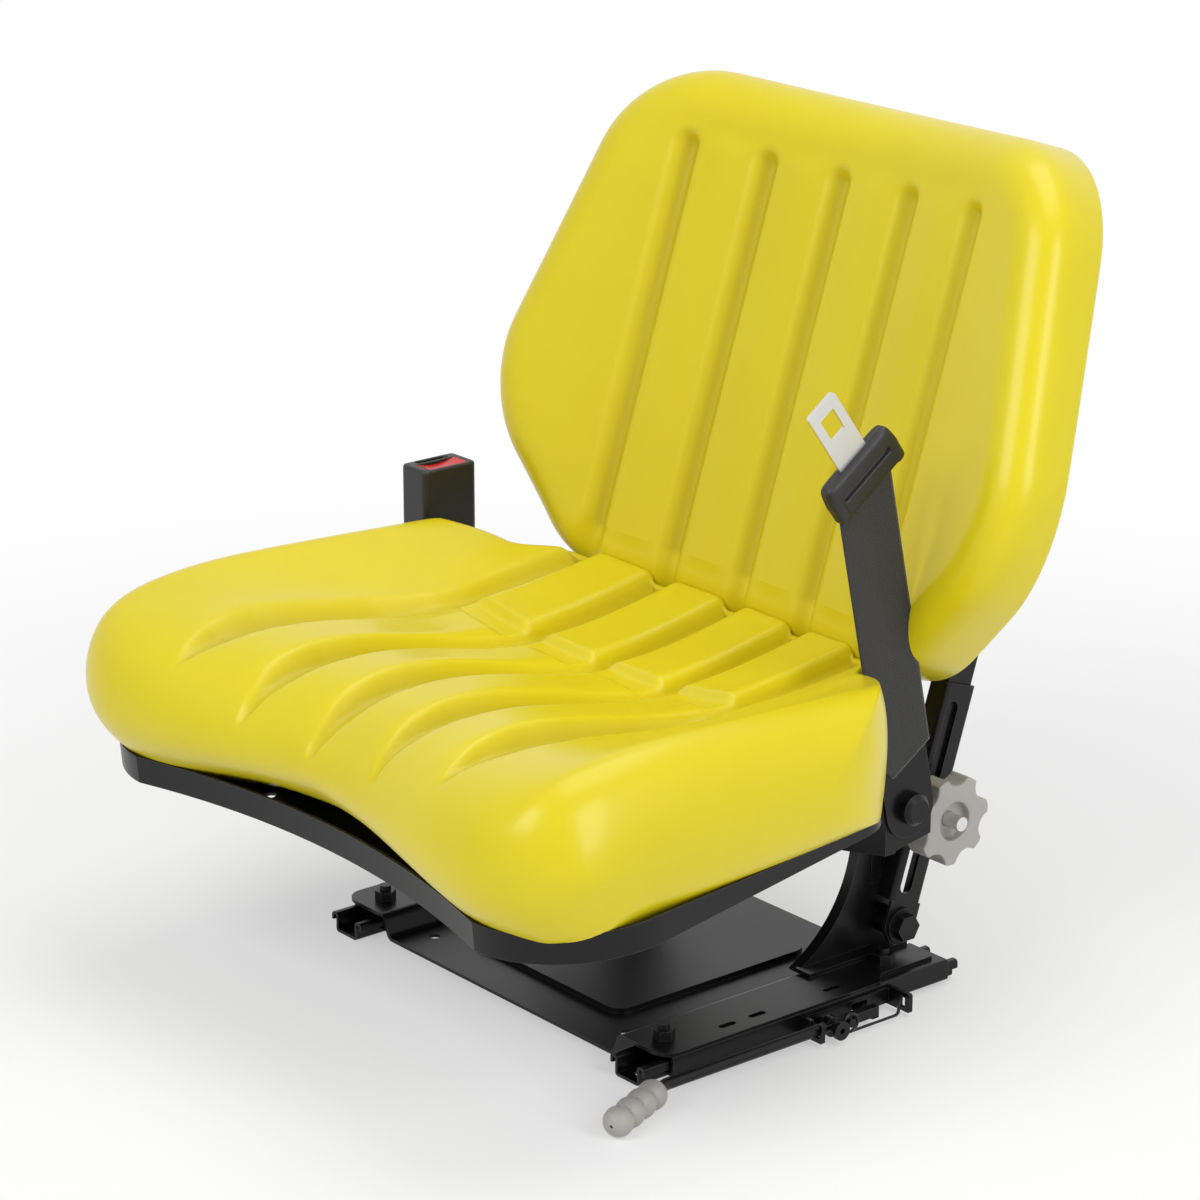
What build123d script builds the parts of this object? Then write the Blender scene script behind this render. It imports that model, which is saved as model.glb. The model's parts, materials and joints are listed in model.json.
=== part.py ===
from build123d import *
import math
import os

os.makedirs("parts", exist_ok=True)

# Operator seat on slide rails, in millimetres.
# +X is the operator's left, -Y is the front and +Z is up.
# The origin is the middle of the four fixing holes, on the underside of the lower rails.

# Slide rails
RAIL_PITCH = 308.0
RAIL_LENGTH = 280.0
RAIL_SHEET = 2.0
RAIL_BEND = 1.5
FLOOR_WIDTH = 24.0
LOWER_HEIGHT = 14.0
LIP_REACH = 5.0
LIP_DROP = 6.0
FIXING_INSET = 12.0
FIXING_HOLE = 8.5
UPPER_FRONT = -118.0
UPPER_LENGTH = 246.0
UPPER_SIDE_GAP = 1.0
UPPER_LIP_GAP = 2.0
FOOT_LEVEL = 3.0
FOOT_GAP = 1.0
END_SLOT_LENGTH = 14.0
END_SLOT_WIDTH = 6.0
END_SLOT_INSET = 16.0
NOTCH_PITCH = 12.0
NOTCH_WIDTH = 7.0
NOTCH_DEPTH = 3.0
NOTCH_COUNT = 15
GLIDE_GAP = 0.3
GLIDE_LENGTH = 32.0
GLIDE_WIDTH = 4.0
GLIDE_INSET = 24.0

# Studs that hold the base pan on the upper rails
STUD_X = 152.0
STUD_FRONT = -107.0
STUD_SPACING = 195.0
STUD_DIAMETER = 8.0
STUD_HEAD = 14.0
STUD_HEAD_HEIGHT = 4.0
STUD_REACH = 10.5
NUT_FLATS = 13.0
NUT_HEIGHT = 6.5
BOLT_CLEARANCE = 0.4
CUT_PAST = 1.0
NUT_CLEARANCE = 0.1

# Base pan, pressed from sheet
PAN_SHEET = 2.5
BASE_FRONT = -126.0
BASE_LENGTH = 246.0
FLANGE_HALF = 176.0
FLANGE_STEP_Y = 63.0
FLANGE_STEP = 10.0
WALL_TOP_HALF = 129.0
WALL_FOOT_HALF = 123.0
BASE_FLOOR = 3.0
BASE_BEND = 5.0
BASE_CORNER = 14.0
FIELD_WIDTH = 164.0
FIELD_LENGTH = 172.0
FIELD_RISE = 4.0
FIELD_CORNER = 12.0
FIELD_CENTRE = -2.0
DRAIN_HOLE = 8.0
DRAIN_X = 104.0
DRAIN_Y = -100.0
FLANGE_SLOT_LENGTH = 14.0
FLANGE_SLOT_WIDTH = 5.0
FLANGE_SLOTS = (-62.0, -36.0, 30.0)
FLANGE_SLOT_X = 163.0

# Seat pan, a tilted tray
SEAT_PAN_FRONT = -263.0
SEAT_PAN_LEVEL = 144.0
SEAT_PAN_TILT = 5.2
TRAY_SHEET = 2.0
TRAY_LIP = 17.0
TRAY_FRONT_HALF = 270.0
TRAY_REAR_HALF = 243.0
TRAY_SHOULDER = 262.0
TRAY_REAR_EDGE = 142.0
TRAY_LENGTH = 344.0
TRAY_NOSE = 24.0
TRAY_NOSE_HALF = 185.0
TRAY_CORNER = 80.0
TRAY_SOFT_CORNER = 30.0
TRAY_LIP_FULL = 60.0
TRAY_LIP_END = 318.0
TRAY_HOLE = 8.0
TRAY_HOLE_X = 96.0
TRAY_HOLE_Y = 22.0

# Uprights
UPRIGHT_X = 130.0
UPRIGHT_SHEET = 3.0
UPRIGHT_FOOT_FRONT = 30.0
UPRIGHT_FOOT_REAR = 120.0
UPRIGHT_FOOT_REACH = 11.5
UPRIGHT_BELLY = (68.0, 52.0)
UPRIGHT_WAIST = (86.0, 98.0)
UPRIGHT_SHOULDER = (62.0, 142.0)
UPRIGHT_HEAD_FRONT = 14.0
UPRIGHT_HEAD_REAR = 110.0
EDGE_ROLL = 9.0
HEAD_FLANGE = 27.0
HEAD_FLANGE_REAR = 86.0
RIB_WIDTH = 8.0
RIB_RISE = 1.5
RIB_INSET = 14.0

# Belt ears
EAR_X = 184.0
EAR_SHEET = 3.0
EAR_FRONT = 57.0
EAR_REAR = 98.0
EAR_FRONT_LOW = 115.0
EAR_REAR_LOW = 122.0
EAR_REAR_TOP = 150.0
EAR_TOP = 164.0
EAR_CORNER = 6.0
WEB_LOW = 104.0
WEB_FLANGE = 9.0
BELT_BOLT_Y = 76.0
BELT_BOLT_Z = 146.0
BELT_BOLT = 11.0
BELT_BOLT_END = 1.0
BELT_HEAD = 22.0
BELT_HEAD_HEIGHT = 9.0
BELT_NUT_FLATS = 17.0
BELT_NUT_HEIGHT = 8.0

# Grooves of both cushions
GROOVE_LINES = (0.0, 71.0, 143.0)
GROOVE_HALF = 15.0
GROOVE_DEPTH = 9.0
GROOVE_FADE = 0.6

# Seat cushion
SEAT_HALF = 266.0
SEAT_EDGE_STEPS = (76.0, 48.0, 28.0, 14.0, 6.0, 1.0)
SEAT_NOSE = -277.0
SEAT_NOSE_BOW = 27.0
SEAT_NOSE_HALF = 190.0
SEAT_CORNER_DEPTH = 58.0
SEAT_NOSE_SOFT = 62.0
SEAT_NOSE_BRIM = 13.0
SEAT_NOSE_DROP = 20.0
SEAT_NOSE_LEVEL = 66.0
SEAT_NOSE_SIDE_LEVEL = 48.0
SEAT_BASE_FRONT = -219.0
SEAT_BASE_BOW = 49.0
SEAT_BASE_FLAT = 55.0
SEAT_REAR = 94.0
SEAT_REAR_SOFT = 10.0
SEAT_REAR_DROP = 23.0
SEAT_REAR_POWER = 4.0
SEAT_REAR_CORNER = 78.0
SEAT_VALLEY_Y = -45.0
SEAT_VALLEY_Z = 221.0
SEAT_FRONT_Z = 245.0
SEAT_REAR_Z = 230.0
BOLSTER_X = 230.0
BOLSTER_RISE = 46.0
BOLSTER_POWER = 2.5
BOLSTER_FRONT = 0.42
BOLSTER_REAR = 0.55
BOLSTER_FALL = 60.0
SEAT_CLEARANCE = 0.3
SEAT_SUNK = 4.0

# Screws through the uprights' heads and the pan into the cushion
SCREW_X = 113.0
SCREW_YS = (24.0, 74.0)
SCREW_DIAMETER = 6.0
SCREW_HEAD = 13.0
SCREW_HEAD_HEIGHT = 4.0
SCREW_REACH = 18.0

# Back pivot and arms
PIVOT_Y = 107.0
PIVOT_Z = 41.0
BACK_LEAN = 18.0
PIVOT_BOLT = 10.0
PIVOT_CLEARANCE = 0.1
PIVOT_FLATS = 17.0
PIVOT_HEAD_HEIGHT = 6.5
PIVOT_WASHER = 25.0
PIVOT_WASHER_SHEET = 2.0
PIVOT_BUSH = 19.0
PIVOT_RUN = 0.3
ARM_X = 148.0
ARM_SHEET = 2.5
ARM_DEPTH = 16.0
ARM_WIDTH = 28.0
ARM_TOP = 170.0
ARM_SHOULDER = 16.0
ARM_TIP = 14.0
ARM_TIP_HALF = 5.0
ARM_CORNER = 4.0
ARM_BEND = 2.0
SLOT_WIDTH = 10.6
SLOT_LOW = 22.0
SLOT_HIGH = 158.0
SLOT_OFFSET = -4.0

# Back bars, clamp bolts and knobs
BAR_GAP = 0.5
BAR_THICK = 8.0
BAR_LOW = 58.0
BAR_HIGH = 400.0
BAR_SIDE_GAP = 0.3
CLAMP_ALONG = 81.5
CLAMP_BOLT = 10.0
CLAMP_HEAD = 14.0
CLAMP_HEAD_HEIGHT = 4.5
CLAMP_END = 183.0
CLAMP_WASHER = 24.0
CLAMP_WASHER_SHEET = 2.5
KNOB_RADIUS = 31.5
KNOB_LOBES = 7
KNOB_SCALLOP = 10.5
KNOB_SCALLOP_CENTRE = 35.5
KNOB_NECK = 13.0
KNOB_NECK_LENGTH = 8.0
KNOB_DISC = 17.0
KNOB_RECESS = 13.5
KNOB_RECESS_DEPTH = 7.0
KNOB_EDGE = 2.0
KNOB_RUN = 0.3

# Back shell and cushion, along the arms' lean
BACK_OUTLINE = ((170.0, 168.0, 70.0), (277.0, 274.0, 75.0), (213.0, 535.0, 90.0))
SHELL_SHEET = 5.0
SHELL_INSET = 14.0
RIB_LOW = 200.0
RIB_HIGH = 412.0
RIB_THICK = 12.0
RIB_HALF = 9.0
BACK_WING = 57.0
BACK_WING_HALF = 245.0
BACK_FACE = 85.0
BACK_FACE_WING = 44.0
BACK_FRONT_ROLL = 34.0
BACK_REAR_ROLL = 16.0
BACK_GROOVE_RADIUS = 16.0
BACK_GROOVE_END = 482.0
BACK_BOLT = 4.0
BACK_BOLT_FLATS = 13.0
BACK_BOLT_HEAD_HEIGHT = 5.0
BACK_BOLT_ALONG = (225.0, 370.0)

# Slide lever on the left rail
LEVER_X = 190.0
LEVER_Z = 10.0
LEVER_BAR = 8.0
LEVER_PIVOT_Y = 5.0
LEVER_PIN = 6.0
LEVER_PIN_HEAD = 13.0
LEVER_PIN_BORE = 4.5
LEVER_PIN_BORE_DEPTH = 8.0
LEVER_PIN_END = 199.0
LEVER_HEAD_SHEET = 3.0
LEVER_EYE = 14.0
LEVER_EYE_THICK = 6.0
LEVER_BEND_Y = -138.0
LEVER_FLARE = 21.5
LEVER_BEND_RADIUS = 14.0
LEVER_FLARE_LENGTH = 70.0
LEVER_TAIL_REAR = 46.0
LEVER_TAIL_HEIGHT = 7.0
LEVER_POST_Y = 18.5
LEVER_POST_END = 197.0
TOOTH_LENGTH = 6.0
TOOTH_TOP_GAP = 0.4
TOOTH_HEIGHT = 2.2
TOOTH_REACH = 2.5
GRIP_BALL = 9.6
GRIP_WAIST = 7.6
GRIP_PITCH = 16.0
GRIP_BALLS = 4
GRIP_SIDES = 16
GRIP_FIRST = 16.0
GRIP_FIT = 0.1
LATCH_SHEET = 3.0
LATCH_FRONT = -9.0
LATCH_REAR = 73.0
LATCH_LOW = 4.0
LATCH_HIGH = 15.0
LATCH_EAR_REACH = 20.0
LATCH_EAR_LOW = 2.5
LATCH_EAR_HIGH = 16.0
LATCH_SLOT_GAP = 0.4
LATCH_REAR_SLOT = 5.0
WINDOW_MARGIN = 4.0
SPRING_WIRE = 1.1
SPRING_COIL = 6.3
SPRING_X = 195.0
SPRING_LEG_Y = 62.0
SPRING_HOOK_Z = 13.0
SPRING_BEND = 3.0

# Belt on the operator's left
BELT_LEAN = 12.0
BELT_WIDTH = 48.0
BELT_THICK = 1.8
TAB_SHEET = 3.0
TAB_WIDTH = 42.0
TAB_LENGTH = 62.0
BELT_LAP = 28.0
BELT_POINT = 14.0
BELT_LENGTH = 246.0
TONGUE_LEAN = 36.0
TONGUE_SHEET = 2.5
TONGUE_WIDTH = 26.0
TONGUE_LENGTH = 58.0
TONGUE_WINDOW_WIDTH = 13.0
TONGUE_WINDOW_LENGTH = 18.0
TONGUE_WINDOW_INSET = 9.0
TONGUE_CORNER = 3.0
COVER_WIDTH = 66.0
COVER_HEIGHT = 30.0
COVER_THICK = 13.0
COVER_CORNER = 5.0
COVER_OVERLAP = 12.0
COVER_SLOT_GAP = 0.4

# Buckle on the operator's right
BUCKLE_X = -261.0
BUCKLE_Y = 27.0
BUCKLE_TOP = 291.0
BUCKLE_THICK = 29.0
BUCKLE_WIDTH = 47.0
BUCKLE_HEIGHT = 66.0
BUCKLE_CORNER = 4.0
BUTTON_THICK = 15.0
BUTTON_SHIFT = 3.5
BUTTON_WIDTH = 34.0
BUTTON_HEIGHT = 9.0
BUTTON_DISH = 60.0
BUTTON_DISH_DEPTH = 2.5
BUTTON_GAP = 0.3
BUTTON_TRAVEL = 4.0
BUTTON_SPRING_PACKED = 2.0
MOUTH_THICK = 4.6
MOUTH_WIDTH = 28.0
MOUTH_DEPTH = 40.0
MOUTH_SHIFT = -9.0
BUTTON_SPRING_SHEET = 0.6
BUTTON_SPRING_WIDTH = 8.0
STALK_WIDTH = 30.0
STALK_SHEET = 4.0
STALK_LEAN = 28.0
STALK_FOOT = 20.0
STALK_KNEE = 26.0
STALK_BEND = 12.0
STALK_SOCKET = 22.0
STALK_FLAT = 1.5

# Levels and places worked out from the sizes above
RAIL_X = RAIL_PITCH / 2
LIP_HALF = FLOOR_WIDTH / 2 + LIP_REACH
UPPER_HALF = LIP_HALF + UPPER_SIDE_GAP + RAIL_SHEET
UPPER_UNDER = LOWER_HEIGHT + UPPER_LIP_GAP
UPPER_TOP = UPPER_UNDER + RAIL_SHEET
FLANGE_TOP = UPPER_TOP + PAN_SHEET
STUD_YS = (STUD_FRONT, STUD_FRONT + STUD_SPACING)
RAIL_WALL = RAIL_X + UPPER_HALF
LATCH_FACE = RAIL_WALL + LATCH_SHEET
LIP_LOW = LOWER_HEIGHT - LIP_DROP
TOOTH_TOP = LIP_LOW - TOOTH_TOP_GAP
TOOTH_REAR = LEVER_TAIL_REAR
TOOTH_FRONT = TOOTH_REAR - TOOTH_LENGTH
ARM_INNER = ARM_X - ARM_DEPTH
ARM_WEB = ARM_X - ARM_SHEET
BAR_HALF = ARM_WIDTH / 2 - ARM_SHEET - BAR_GAP
BAR_OUTER = ARM_WEB - BAR_SIDE_GAP
BAR_INNER = BAR_OUTER - BAR_THICK
SHELL_BACK = -BAR_HALF
SHELL_FACE = SHELL_BACK - SHELL_SHEET
KNOB_INNER = ARM_X + KNOB_RUN + CLAMP_WASHER_SHEET + KNOB_RUN
KNOB_OUTER = KNOB_INNER + KNOB_NECK_LENGTH + KNOB_DISC
TAB_FACE = EAR_X + TAB_SHEET
BUTTON_WELL = BUTTON_HEIGHT + BUTTON_TRAVEL + BUTTON_SPRING_PACKED

SEAT_FRAME = Location((0, SEAT_PAN_FRONT, SEAT_PAN_LEVEL), (SEAT_PAN_TILT, 0, 0))
BACK_FRAME = Location((0, PIVOT_Y, PIVOT_Z), (-BACK_LEAN, 0, 0))
BELT_FRAME = Location((0, BELT_BOLT_Y, BELT_BOLT_Z), (BELT_LEAN, 0, 0))
HUGE = 1200.0


def along_x(face, start, end):
    """A YZ profile drawn out from one X to another."""
    return extrude(Pos(start, 0, 0) * (Plane.YZ * face), end - start, dir=(1, 0, 0))


def along_y(face, start, end):
    """An XZ profile drawn out from one Y to another."""
    return extrude(Pos(0, start, 0) * (Plane.XZ * face), end - start, dir=(0, 1, 0))


def along_z(face, low, high):
    """An XY profile drawn out from one Z to another."""
    return extrude(Pos(0, 0, low) * face, high - low, dir=(0, 0, 1))


def rod_x(diameter, start, end, y=0.0, z=0.0):
    """A round bar along X."""
    return along_x(Pos(y, z) * Circle(diameter / 2), start, end)


def rod_y(diameter, start, end, x=0.0, z=0.0):
    """A round bar along Y."""
    return along_y(Pos(x, z) * Circle(diameter / 2), start, end)


def rod_z(diameter, low, high, x=0.0, y=0.0):
    """A round bar along Z."""
    return along_z(Pos(x, y) * Circle(diameter / 2), low, high)


def hexagon(flats):
    """A hexagon of a given size across its flats."""
    return RegularPolygon(flats / math.sqrt(3), 6)


def block(x, y, z):
    """A box between two limits on each axis."""
    centre = [(low + high) / 2 for low, high in (x, y, z)]
    return Pos(*centre) * Box(x[1] - x[0], y[1] - y[0], z[1] - z[0])


def other_side(part):
    """The mirror image on the operator's right."""
    return mirror(part, about=Plane.YZ)


def both(part):
    """A piece and its mirror image, as two solids."""
    return Compound(children=list(part.solids()) + list(other_side(part).solids()))


def lower_rail():
    """U channel with lips that turn outwards and down, centred on x = 0."""
    half_sheet = RAIL_SHEET / 2
    wall = FLOOR_WIDTH / 2 - half_sheet
    lip = LIP_HALF - half_sheet
    top = LOWER_HEIGHT - half_sheet
    line = FilletPolyline(
        (-lip, LIP_LOW), (-lip, top), (-wall, top), (-wall, half_sheet),
        (wall, half_sheet), (wall, top), (lip, top), (lip, LIP_LOW),
        radius=RAIL_BEND,
    )
    rail = along_y(trace(line, RAIL_SHEET), -RAIL_LENGTH / 2, RAIL_LENGTH / 2)
    for side in (-1, 1):
        rail -= rod_z(FIXING_HOLE, -RAIL_SHEET, 2 * RAIL_SHEET, y=side * (RAIL_LENGTH / 2 - FIXING_INSET))
    return rail


def latch_notches():
    """The row of notches in the outer lip, which the lever's tooth meets."""
    middle = (TOOTH_FRONT + TOOTH_REAR) / 2
    first = middle - (NOTCH_COUNT - 1) / 2 * NOTCH_PITCH
    lip = (LIP_HALF - 2 * RAIL_SHEET, LIP_HALF + RAIL_SHEET)
    depth = (LIP_LOW - NOTCH_DEPTH, LIP_LOW + NOTCH_DEPTH)
    notches = []
    for index in range(NOTCH_COUNT):
        y = first + index * NOTCH_PITCH
        notches.append(block(lip, (y - NOTCH_WIDTH / 2, y + NOTCH_WIDTH / 2), depth))
    return notches


def upper_rail():
    """Inverted channel whose feet hook under the lower rail's lips, centred on x = 0."""
    half_sheet = RAIL_SHEET / 2
    foot = FLOOR_WIDTH / 2 + FOOT_GAP
    wall = UPPER_HALF - half_sheet
    hook = FOOT_LEVEL + half_sheet
    top = UPPER_TOP - half_sheet
    line = FilletPolyline(
        (-foot, hook), (-wall, hook), (-wall, top), (wall, top), (wall, hook), (foot, hook),
        radius=RAIL_BEND,
    )
    rear = UPPER_FRONT + UPPER_LENGTH
    rail = along_y(trace(line, RAIL_SHEET), UPPER_FRONT, rear)
    low = UPPER_UNDER - CUT_PAST
    high = UPPER_TOP + CUT_PAST
    for y in STUD_YS:
        rail -= rod_z(STUD_DIAMETER + BOLT_CLEARANCE, low, high, STUD_X - RAIL_X, y)
    slot = Pos(0, rear - END_SLOT_INSET) * SlotOverall(END_SLOT_LENGTH, END_SLOT_WIDTH)
    return rail - along_z(slot, low, high)


def tooth_window(start, end):
    """Room for the latch tooth to pass through a wall and drop clear."""
    y = (TOOTH_FRONT - WINDOW_MARGIN, TOOTH_REAR + WINDOW_MARGIN)
    return block((start, end), y, (0, LEVER_Z + WINDOW_MARGIN / 2))


def rail_glides():
    """Nylon strips under the upper rails' tops, which run on the lower rails' lips."""
    across = (FLOOR_WIDTH / 2 + LIP_HALF) / 2
    rear = UPPER_FRONT + UPPER_LENGTH
    height = (LOWER_HEIGHT + GLIDE_GAP, UPPER_UNDER)
    pads = []
    for rail in (-RAIL_X, RAIL_X):
        for side in (-across, across):
            x = (rail + side - GLIDE_WIDTH / 2, rail + side + GLIDE_WIDTH / 2)
            for start in (UPPER_FRONT + GLIDE_INSET, rear - GLIDE_INSET - GLIDE_LENGTH):
                pads.append(block(x, (start, start + GLIDE_LENGTH), height))
    return Compound(children=pads)


def rail_studs():
    """Round-headed studs from inside the upper rails."""
    studs = []
    for x in (-STUD_X, STUD_X):
        for y in STUD_YS:
            head = rod_z(STUD_HEAD, UPPER_UNDER - STUD_HEAD_HEIGHT, UPPER_UNDER, x, y)
            studs.append(head + rod_z(STUD_DIAMETER, UPPER_UNDER, FLANGE_TOP + STUD_REACH, x, y))
    return Compound(children=[stud.solid() for stud in studs])


def rail_nuts():
    """Hexagon nuts on the studs."""
    nuts = []
    low = FLANGE_TOP - CUT_PAST
    high = FLANGE_TOP + NUT_HEIGHT + CUT_PAST
    for x in (-STUD_X, STUD_X):
        for y in STUD_YS:
            nut = along_z(Pos(x, y) * hexagon(NUT_FLATS), FLANGE_TOP, FLANGE_TOP + NUT_HEIGHT)
            nuts.append(nut - rod_z(STUD_DIAMETER + NUT_CLEARANCE, low, high, x, y))
    return Compound(children=[nut.solid() for nut in nuts])


def base_pan():
    """Pressed pan: flanges on the upper rails, walls down between them and a raised field."""
    half_sheet = PAN_SHEET / 2
    flange = FLANGE_TOP - half_sheet
    floor = BASE_FLOOR + half_sheet
    line = FilletPolyline(
        (-FLANGE_HALF, flange), (-WALL_TOP_HALF, flange), (-WALL_FOOT_HALF, floor),
        (WALL_FOOT_HALF, floor), (WALL_TOP_HALF, flange), (FLANGE_HALF, flange),
        radius=BASE_BEND,
    )
    rear = BASE_FRONT + BASE_LENGTH
    pan = along_y(trace(line, PAN_SHEET), BASE_FRONT, rear)
    step = FLANGE_HALF - FLANGE_STEP
    plan = make_face(Polyline(
        (-FLANGE_HALF, BASE_FRONT), (FLANGE_HALF, BASE_FRONT), (FLANGE_HALF, FLANGE_STEP_Y),
        (step, FLANGE_STEP_Y + FLANGE_STEP), (step, rear), (-step, rear),
        (-step, FLANGE_STEP_Y + FLANGE_STEP), (-FLANGE_HALF, FLANGE_STEP_Y), close=True,
    ))
    front_corners = plan.vertices().sort_by(Axis.Y)[:2]
    plan = fillet(front_corners, BASE_CORNER)
    pan &= along_z(plan, 0, FLANGE_TOP)
    floor_top = BASE_FLOOR + PAN_SHEET
    field = Pos(0, FIELD_CENTRE) * RectangleRounded(FIELD_WIDTH, FIELD_LENGTH, FIELD_CORNER)
    hollow = Pos(0, FIELD_CENTRE) * RectangleRounded(
        FIELD_WIDTH - 2 * PAN_SHEET, FIELD_LENGTH - 2 * PAN_SHEET, FIELD_CORNER - PAN_SHEET)
    pan += along_z(field, floor_top, floor_top + FIELD_RISE)
    pan -= along_z(hollow, 0, floor_top + FIELD_RISE - PAN_SHEET)
    low = UPPER_TOP - CUT_PAST
    high = FLANGE_TOP + CUT_PAST
    slot = Rot(0, 0, 90) * SlotOverall(FLANGE_SLOT_LENGTH, FLANGE_SLOT_WIDTH)
    for side in (-1, 1):
        pan -= rod_z(DRAIN_HOLE, 0, FLANGE_TOP, side * DRAIN_X, DRAIN_Y)
        for y in STUD_YS:
            pan -= rod_z(STUD_DIAMETER + BOLT_CLEARANCE, low, high, side * STUD_X, y)
        for y in FLANGE_SLOTS:
            pan -= along_z(Pos(side * FLANGE_SLOT_X, y) * slot, low, high)
    return pan


def above_seat_pan():
    """All the space above the seat pan's underside."""
    return SEAT_FRAME * block((-HUGE, HUGE), (-HUGE, HUGE), (0, HUGE))


def seat_y(y):
    """A place along the seat pan for a Y of the part."""
    return (y - SEAT_PAN_FRONT) / math.cos(math.radians(SEAT_PAN_TILT))


def tray_outline():
    """Plan of the seat pan: bowed front, tapered sides and cut-off rear corners."""
    front = -TRAY_NOSE
    plan = make_face(Polyline(
        (-TRAY_FRONT_HALF, front), (TRAY_FRONT_HALF, front), (TRAY_REAR_HALF, TRAY_SHOULDER),
        (TRAY_REAR_EDGE, TRAY_LENGTH), (-TRAY_REAR_EDGE, TRAY_LENGTH),
        (-TRAY_REAR_HALF, TRAY_SHOULDER), close=True,
    ))
    corners = plan.vertices().sort_by(Axis.Y)
    plan = fillet(corners[:2], TRAY_CORNER)
    plan = fillet(plan.vertices().sort_by(Axis.Y)[-4:], TRAY_SOFT_CORNER)
    bow = (TRAY_NOSE_HALF ** 2 + TRAY_NOSE ** 2) / (2 * TRAY_NOSE)
    return plan - Pos(0, -bow) * Circle(bow)


def seat_pan():
    """Tray with a lip that runs out towards the rear."""
    plan = tray_outline()
    tray = along_z(plan, 0, TRAY_SHEET + TRAY_LIP)
    inside = offset(plan, -TRAY_SHEET, kind=Kind.INTERSECTION)
    tray -= along_z(inside, TRAY_SHEET, TRAY_SHEET + TRAY_LIP + CUT_PAST)
    above = make_face(Polyline(
        (TRAY_LIP_FULL, TRAY_SHEET + TRAY_LIP), (TRAY_LIP_END, TRAY_SHEET), (HUGE, TRAY_SHEET),
        (HUGE, HUGE), (TRAY_LIP_FULL, HUGE), close=True,
    ))
    tray -= along_x(above, -HUGE, HUGE)
    through = TRAY_SHEET + CUT_PAST
    for side in (-1, 1):
        tray -= rod_z(TRAY_HOLE, -CUT_PAST, through, side * TRAY_HOLE_X, TRAY_HOLE_Y)
        for y in SCREW_YS:
            tray -= rod_z(SCREW_DIAMETER + BOLT_CLEARANCE, -CUT_PAST, through, side * SCREW_X, seat_y(y))
    return SEAT_FRAME * tray


def upright():
    """Stamped side plate on the left: foot on the base flange, rolled front edge, head under the pan."""
    foot = (UPRIGHT_FOOT_FRONT, FLANGE_TOP)
    head_front = (UPRIGHT_HEAD_FRONT, SEAT_PAN_LEVEL + TRAY_LIP + TRAY_LIP)
    edge = [
        ThreePointArc(foot, UPRIGHT_BELLY, UPRIGHT_WAIST),
        ThreePointArc(UPRIGHT_WAIST, UPRIGHT_SHOULDER, head_front),
    ]
    rest = Polyline(
        head_front, (UPRIGHT_HEAD_REAR, head_front[1]), (UPRIGHT_FOOT_REAR, PIVOT_Z),
        (UPRIGHT_FOOT_REAR, FLANGE_TOP), foot,
    )
    inner = UPRIGHT_X - UPRIGHT_SHEET
    plate = along_x(make_face(edge + [rest]), inner, UPRIGHT_X)
    for arc in edge:
        plate += along_x(trace(arc, UPRIGHT_SHEET), UPRIGHT_X - EDGE_ROLL, UPRIGHT_X)
    plate -= block((-HUGE, HUGE), (-HUGE, HUGE), (-HUGE, FLANGE_TOP))
    plate += block(
        (inner, UPRIGHT_X + UPRIGHT_FOOT_REACH), (UPRIGHT_FOOT_FRONT, UPRIGHT_FOOT_REAR),
        (FLANGE_TOP, FLANGE_TOP + UPRIGHT_SHEET))
    rib = Polyline(
        (UPRIGHT_FOOT_REAR - RIB_INSET - RIB_WIDTH, PIVOT_Z + 2 * RIB_INSET),
        (UPRIGHT_WAIST[0] + RIB_INSET, UPRIGHT_SHOULDER[1] + RIB_INSET))
    plate += along_x(trace(rib, RIB_WIDTH), UPRIGHT_X, UPRIGHT_X + RIB_RISE)
    plate -= above_seat_pan()
    head = block(
        (UPRIGHT_X - HEAD_FLANGE, UPRIGHT_X), (seat_y(UPRIGHT_HEAD_FRONT), seat_y(HEAD_FLANGE_REAR)),
        (-UPRIGHT_SHEET, 0))
    below = -UPRIGHT_SHEET - CUT_PAST
    for y in SCREW_YS:
        head -= rod_z(SCREW_DIAMETER + BOLT_CLEARANCE, below, CUT_PAST, SCREW_X, seat_y(y))
    plate += SEAT_FRAME * head
    outer = UPRIGHT_X + RIB_RISE + CUT_PAST
    return plate - rod_x(PIVOT_BOLT + BOLT_CLEARANCE, inner - CUT_PAST, outer, PIVOT_Y, PIVOT_Z)


def belt_ear():
    """Outrigger bracket on the left upright: a web across and an ear that takes the belt bolt."""
    ear = make_face(Polyline(
        (EAR_FRONT, EAR_FRONT_LOW), (EAR_REAR, EAR_REAR_LOW), (EAR_REAR, EAR_REAR_TOP),
        (EAR_REAR - (EAR_TOP - EAR_REAR_TOP), EAR_TOP), (EAR_FRONT, EAR_TOP), close=True,
    ))
    ear = fillet(ear.vertices().sort_by(Axis.Y)[-2:], EAR_CORNER)
    bracket = along_x(ear, EAR_X - EAR_SHEET, EAR_X)
    top = EAR_TOP + EAR_CORNER
    web = make_face(Polyline(
        (UPRIGHT_X, WEB_LOW), (EAR_X, EAR_FRONT_LOW), (EAR_X, EAR_TOP), (UPRIGHT_X, top), close=True,
    ))
    bracket += along_y(web, EAR_FRONT, EAR_FRONT + EAR_SHEET)
    flange = make_face(Polyline(
        (UPRIGHT_X, WEB_LOW), (EAR_X, EAR_FRONT_LOW), (EAR_X, EAR_FRONT_LOW + EAR_SHEET),
        (UPRIGHT_X, WEB_LOW + EAR_SHEET), close=True,
    ))
    bracket += along_y(flange, EAR_FRONT, EAR_FRONT + WEB_FLANGE)
    bracket -= above_seat_pan()
    inner = EAR_X - EAR_SHEET - CUT_PAST
    return bracket - rod_x(BELT_BOLT + BOLT_CLEARANCE, inner, EAR_X + CUT_PAST, BELT_BOLT_Y, BELT_BOLT_Z)


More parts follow.
